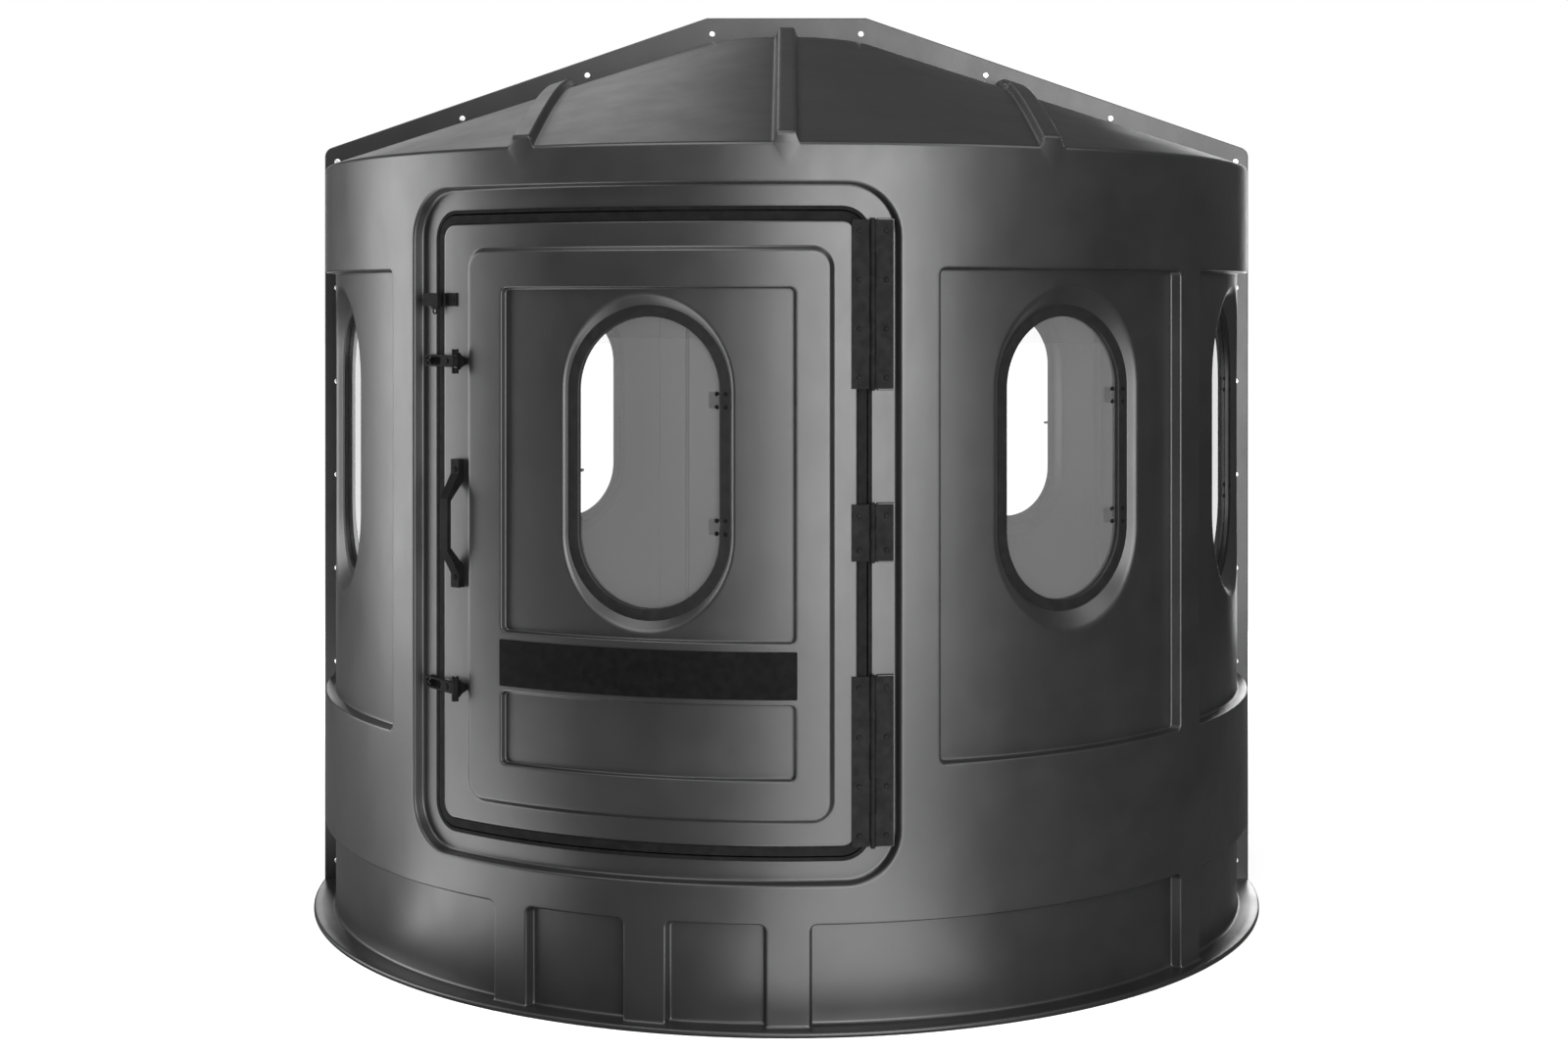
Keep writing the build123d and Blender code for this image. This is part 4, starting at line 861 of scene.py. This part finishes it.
# ---- CAD nodes that show: part of their names, their finish and the width of their softened edges ----
looks = (("floor", floor_plastic, 2.0),
         ("flange_bolts", bright_steel, 0.0), ("flange_nuts", bright_steel, 0.6),
         ("door_seal", rubber, 1.2), ("door_trim", rubber, 1.8), ("label_strip", strip_vinyl, 0.3),
         ("hinge_frame_leaf", hinge_coat, 0.7), ("hinge_door_leaf", hinge_coat, 0.7),
         ("hinge_pin", hinge_coat, 0.5), ("hinge_bolts", hinge_coat, 0.7), ("handle", handle_plastic, 3.2),
         ("door_screws", hardware_coat, 0.6), ("latch_base", hardware_coat, 0.9),
         ("latch_strap", rubber, 1.2), ("latch_post", hardware_coat, 0.8), ("latch_pins", bright_steel, 0.3),
         ("hasp", hardware_coat, 0.6), ("window_gasket", rubber, 0.0), ("window_pane", pane_clear, 0.0),
         ("window_hinge", hardware_coat, 0.3), ("window_fittings", hardware_coat, 0.3))


def soften_edges(node, width):
    soft = node.modifiers.new("edges", "BEVEL")
    soft.width = width / 1000
    soft.segments = 3
    soft.limit_method = "ANGLE"
    soft.angle_limit = math.radians(50)


for name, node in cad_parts.items():
    for key, made, edge in looks:
        if key in name:
            finish_with(node, made)
            if edge:
                soften_edges(node, edge)
            break


# ---- Floor and background ----
def studio_ground():
    """Pale ground, white to the camera away from the object and darker in blurred reflections."""
    made, tree, shader = material("studio_ground", Roughness=0.9, Specular_IOR_Level=0.1)
    seen = tree.nodes.new("ShaderNodeLightPath")
    blurred = combine(tree, "SUBTRACT", seen.outputs["Is Glossy Ray"], seen.outputs["Is Singular Ray"])
    dim = tree.nodes.new("ShaderNodeMix")
    dim.data_type = "RGBA"
    dim.inputs["B"].default_value = (0.14, 0.14, 0.14, 1)
    stops = ((0.3, (0.8, 0.8, 0.8)), (0.7, (0.82, 0.82, 0.82)))
    tree.links.new(blurred, dim.inputs["Factor"])
    tree.links.new(ramp(tree, noise(tree, 0.6, 2.0), stops), dim.inputs["A"])
    tree.links.new(dim.outputs["Result"], shader.inputs["Base Color"])

    place = tree.nodes.new("ShaderNodeTexCoord")
    length = tree.nodes.new("ShaderNodeVectorMath")
    length.operation = "LENGTH"
    tree.links.new(place.outputs["Object"], length.inputs[0])
    away = spread(tree, length.outputs["Value"], 0.35, 1.0, 1.5, 3.2)
    glow = tree.nodes.new("ShaderNodeEmission")
    power = combine(tree, "MULTIPLY", backdrop_rays(tree), away, clamp=False)
    tree.links.new(power, glow.inputs["Strength"])
    both = tree.nodes.new("ShaderNodeAddShader")
    tree.links.new(shader.outputs[0], both.inputs[0])
    tree.links.new(glow.outputs[0], both.inputs[1])
    tree.links.new(both.outputs[0], tree.nodes["Material Output"].inputs["Surface"])
    return made


def studio_world():
    """Dim even light, and white where the backdrop shows."""
    made = bpy.data.worlds.new("studio")
    made.use_nodes = True
    tree = made.node_tree
    sky = tree.nodes["Background"]
    sky.inputs["Color"].default_value = (1, 1, 1, 1)
    tree.links.new(spread(tree, backdrop_rays(tree), 0.16, 1.0, 0.0, 1.0), sky.inputs["Strength"])
    return made


REACH = 60.0                  # half the floor's side, in metres
floor_mesh = bpy.data.meshes.new("studio_floor")
floor_mesh.from_pydata([(-REACH, -REACH, 0), (REACH, -REACH, 0), (REACH, REACH, 0), (-REACH, REACH, 0)], [],
                       [(0, 1, 2, 3)])
floor_mesh.materials.append(studio_ground())
studio_floor = bpy.data.objects.new("studio_floor", floor_mesh)
bpy.context.scene.collection.objects.link(studio_floor)
bpy.context.scene.world = studio_world()


# ---- Light, in metres and watts ----
def area_light(name, width, tall, power, place):
    data = bpy.data.lights.new(name, "AREA")
    data.shape = "RECTANGLE"
    data.size, data.size_y = width, tall
    data.energy = power
    light = bpy.data.objects.new(name, data)
    light.location = place
    light.visible_camera = False
    bpy.context.scene.collection.objects.link(light)
    return light


def softbox(name, azimuth, distance, height, width, tall, power):
    """Upright area light that faces the cabin's axis."""
    a = math.radians(azimuth)
    place = Vector((distance * math.sin(a), -distance * math.cos(a), height))
    light = area_light(name, width, tall, power, place)
    light.rotation_euler = (Vector((0.0, 0.0, 0.9)) - place).to_track_quat("-Z", "Y").to_euler()


def low_sheet(name, azimuth, aside, near, far, width, power):
    """Sheet of light that lies on the floor and carries a softbox's reflection down to the wall's foot."""
    a = math.radians(azimuth)
    middle = (near + far) / 2
    place = (middle * math.sin(a) + aside * math.cos(a), -middle * math.cos(a) + aside * math.sin(a), 0.02)
    light = area_light(name, width, far - near, power, place)
    light.rotation_euler = (math.radians(180.0), 0.0, a)


softbox("side_light", -90, 4.2, 1.3, 2.3, 3.0, 150)
softbox("key_light", 14.5, 4.6, 1.4, 2.6, 3.2, 300)
low_sheet("side_sheet", -90, 1.0, 0.95, 4.2, 0.8, 50)
low_sheet("key_sheet", 9.0, 0.0, 1.15, 4.6, 0.7, 38)
softbox("rim_left", -155, 4.0, 1.3, 1.2, 2.6, 24)
softbox("rim_right", 150, 4.0, 1.3, 1.2, 2.6, 60)
softbox("top_light", -30, 2.6, 4.6, 3.0, 2.4, 130)
softbox("edge_light", 52, 3.2, 4.4, 2.2, 2.2, 70)
softbox("roof_light", -150, 2.2, 3.3, 1.6, 1.6, 8)

bpy.context.scene.view_settings.view_transform = "Standard"

bpy.context.view_layer.update()
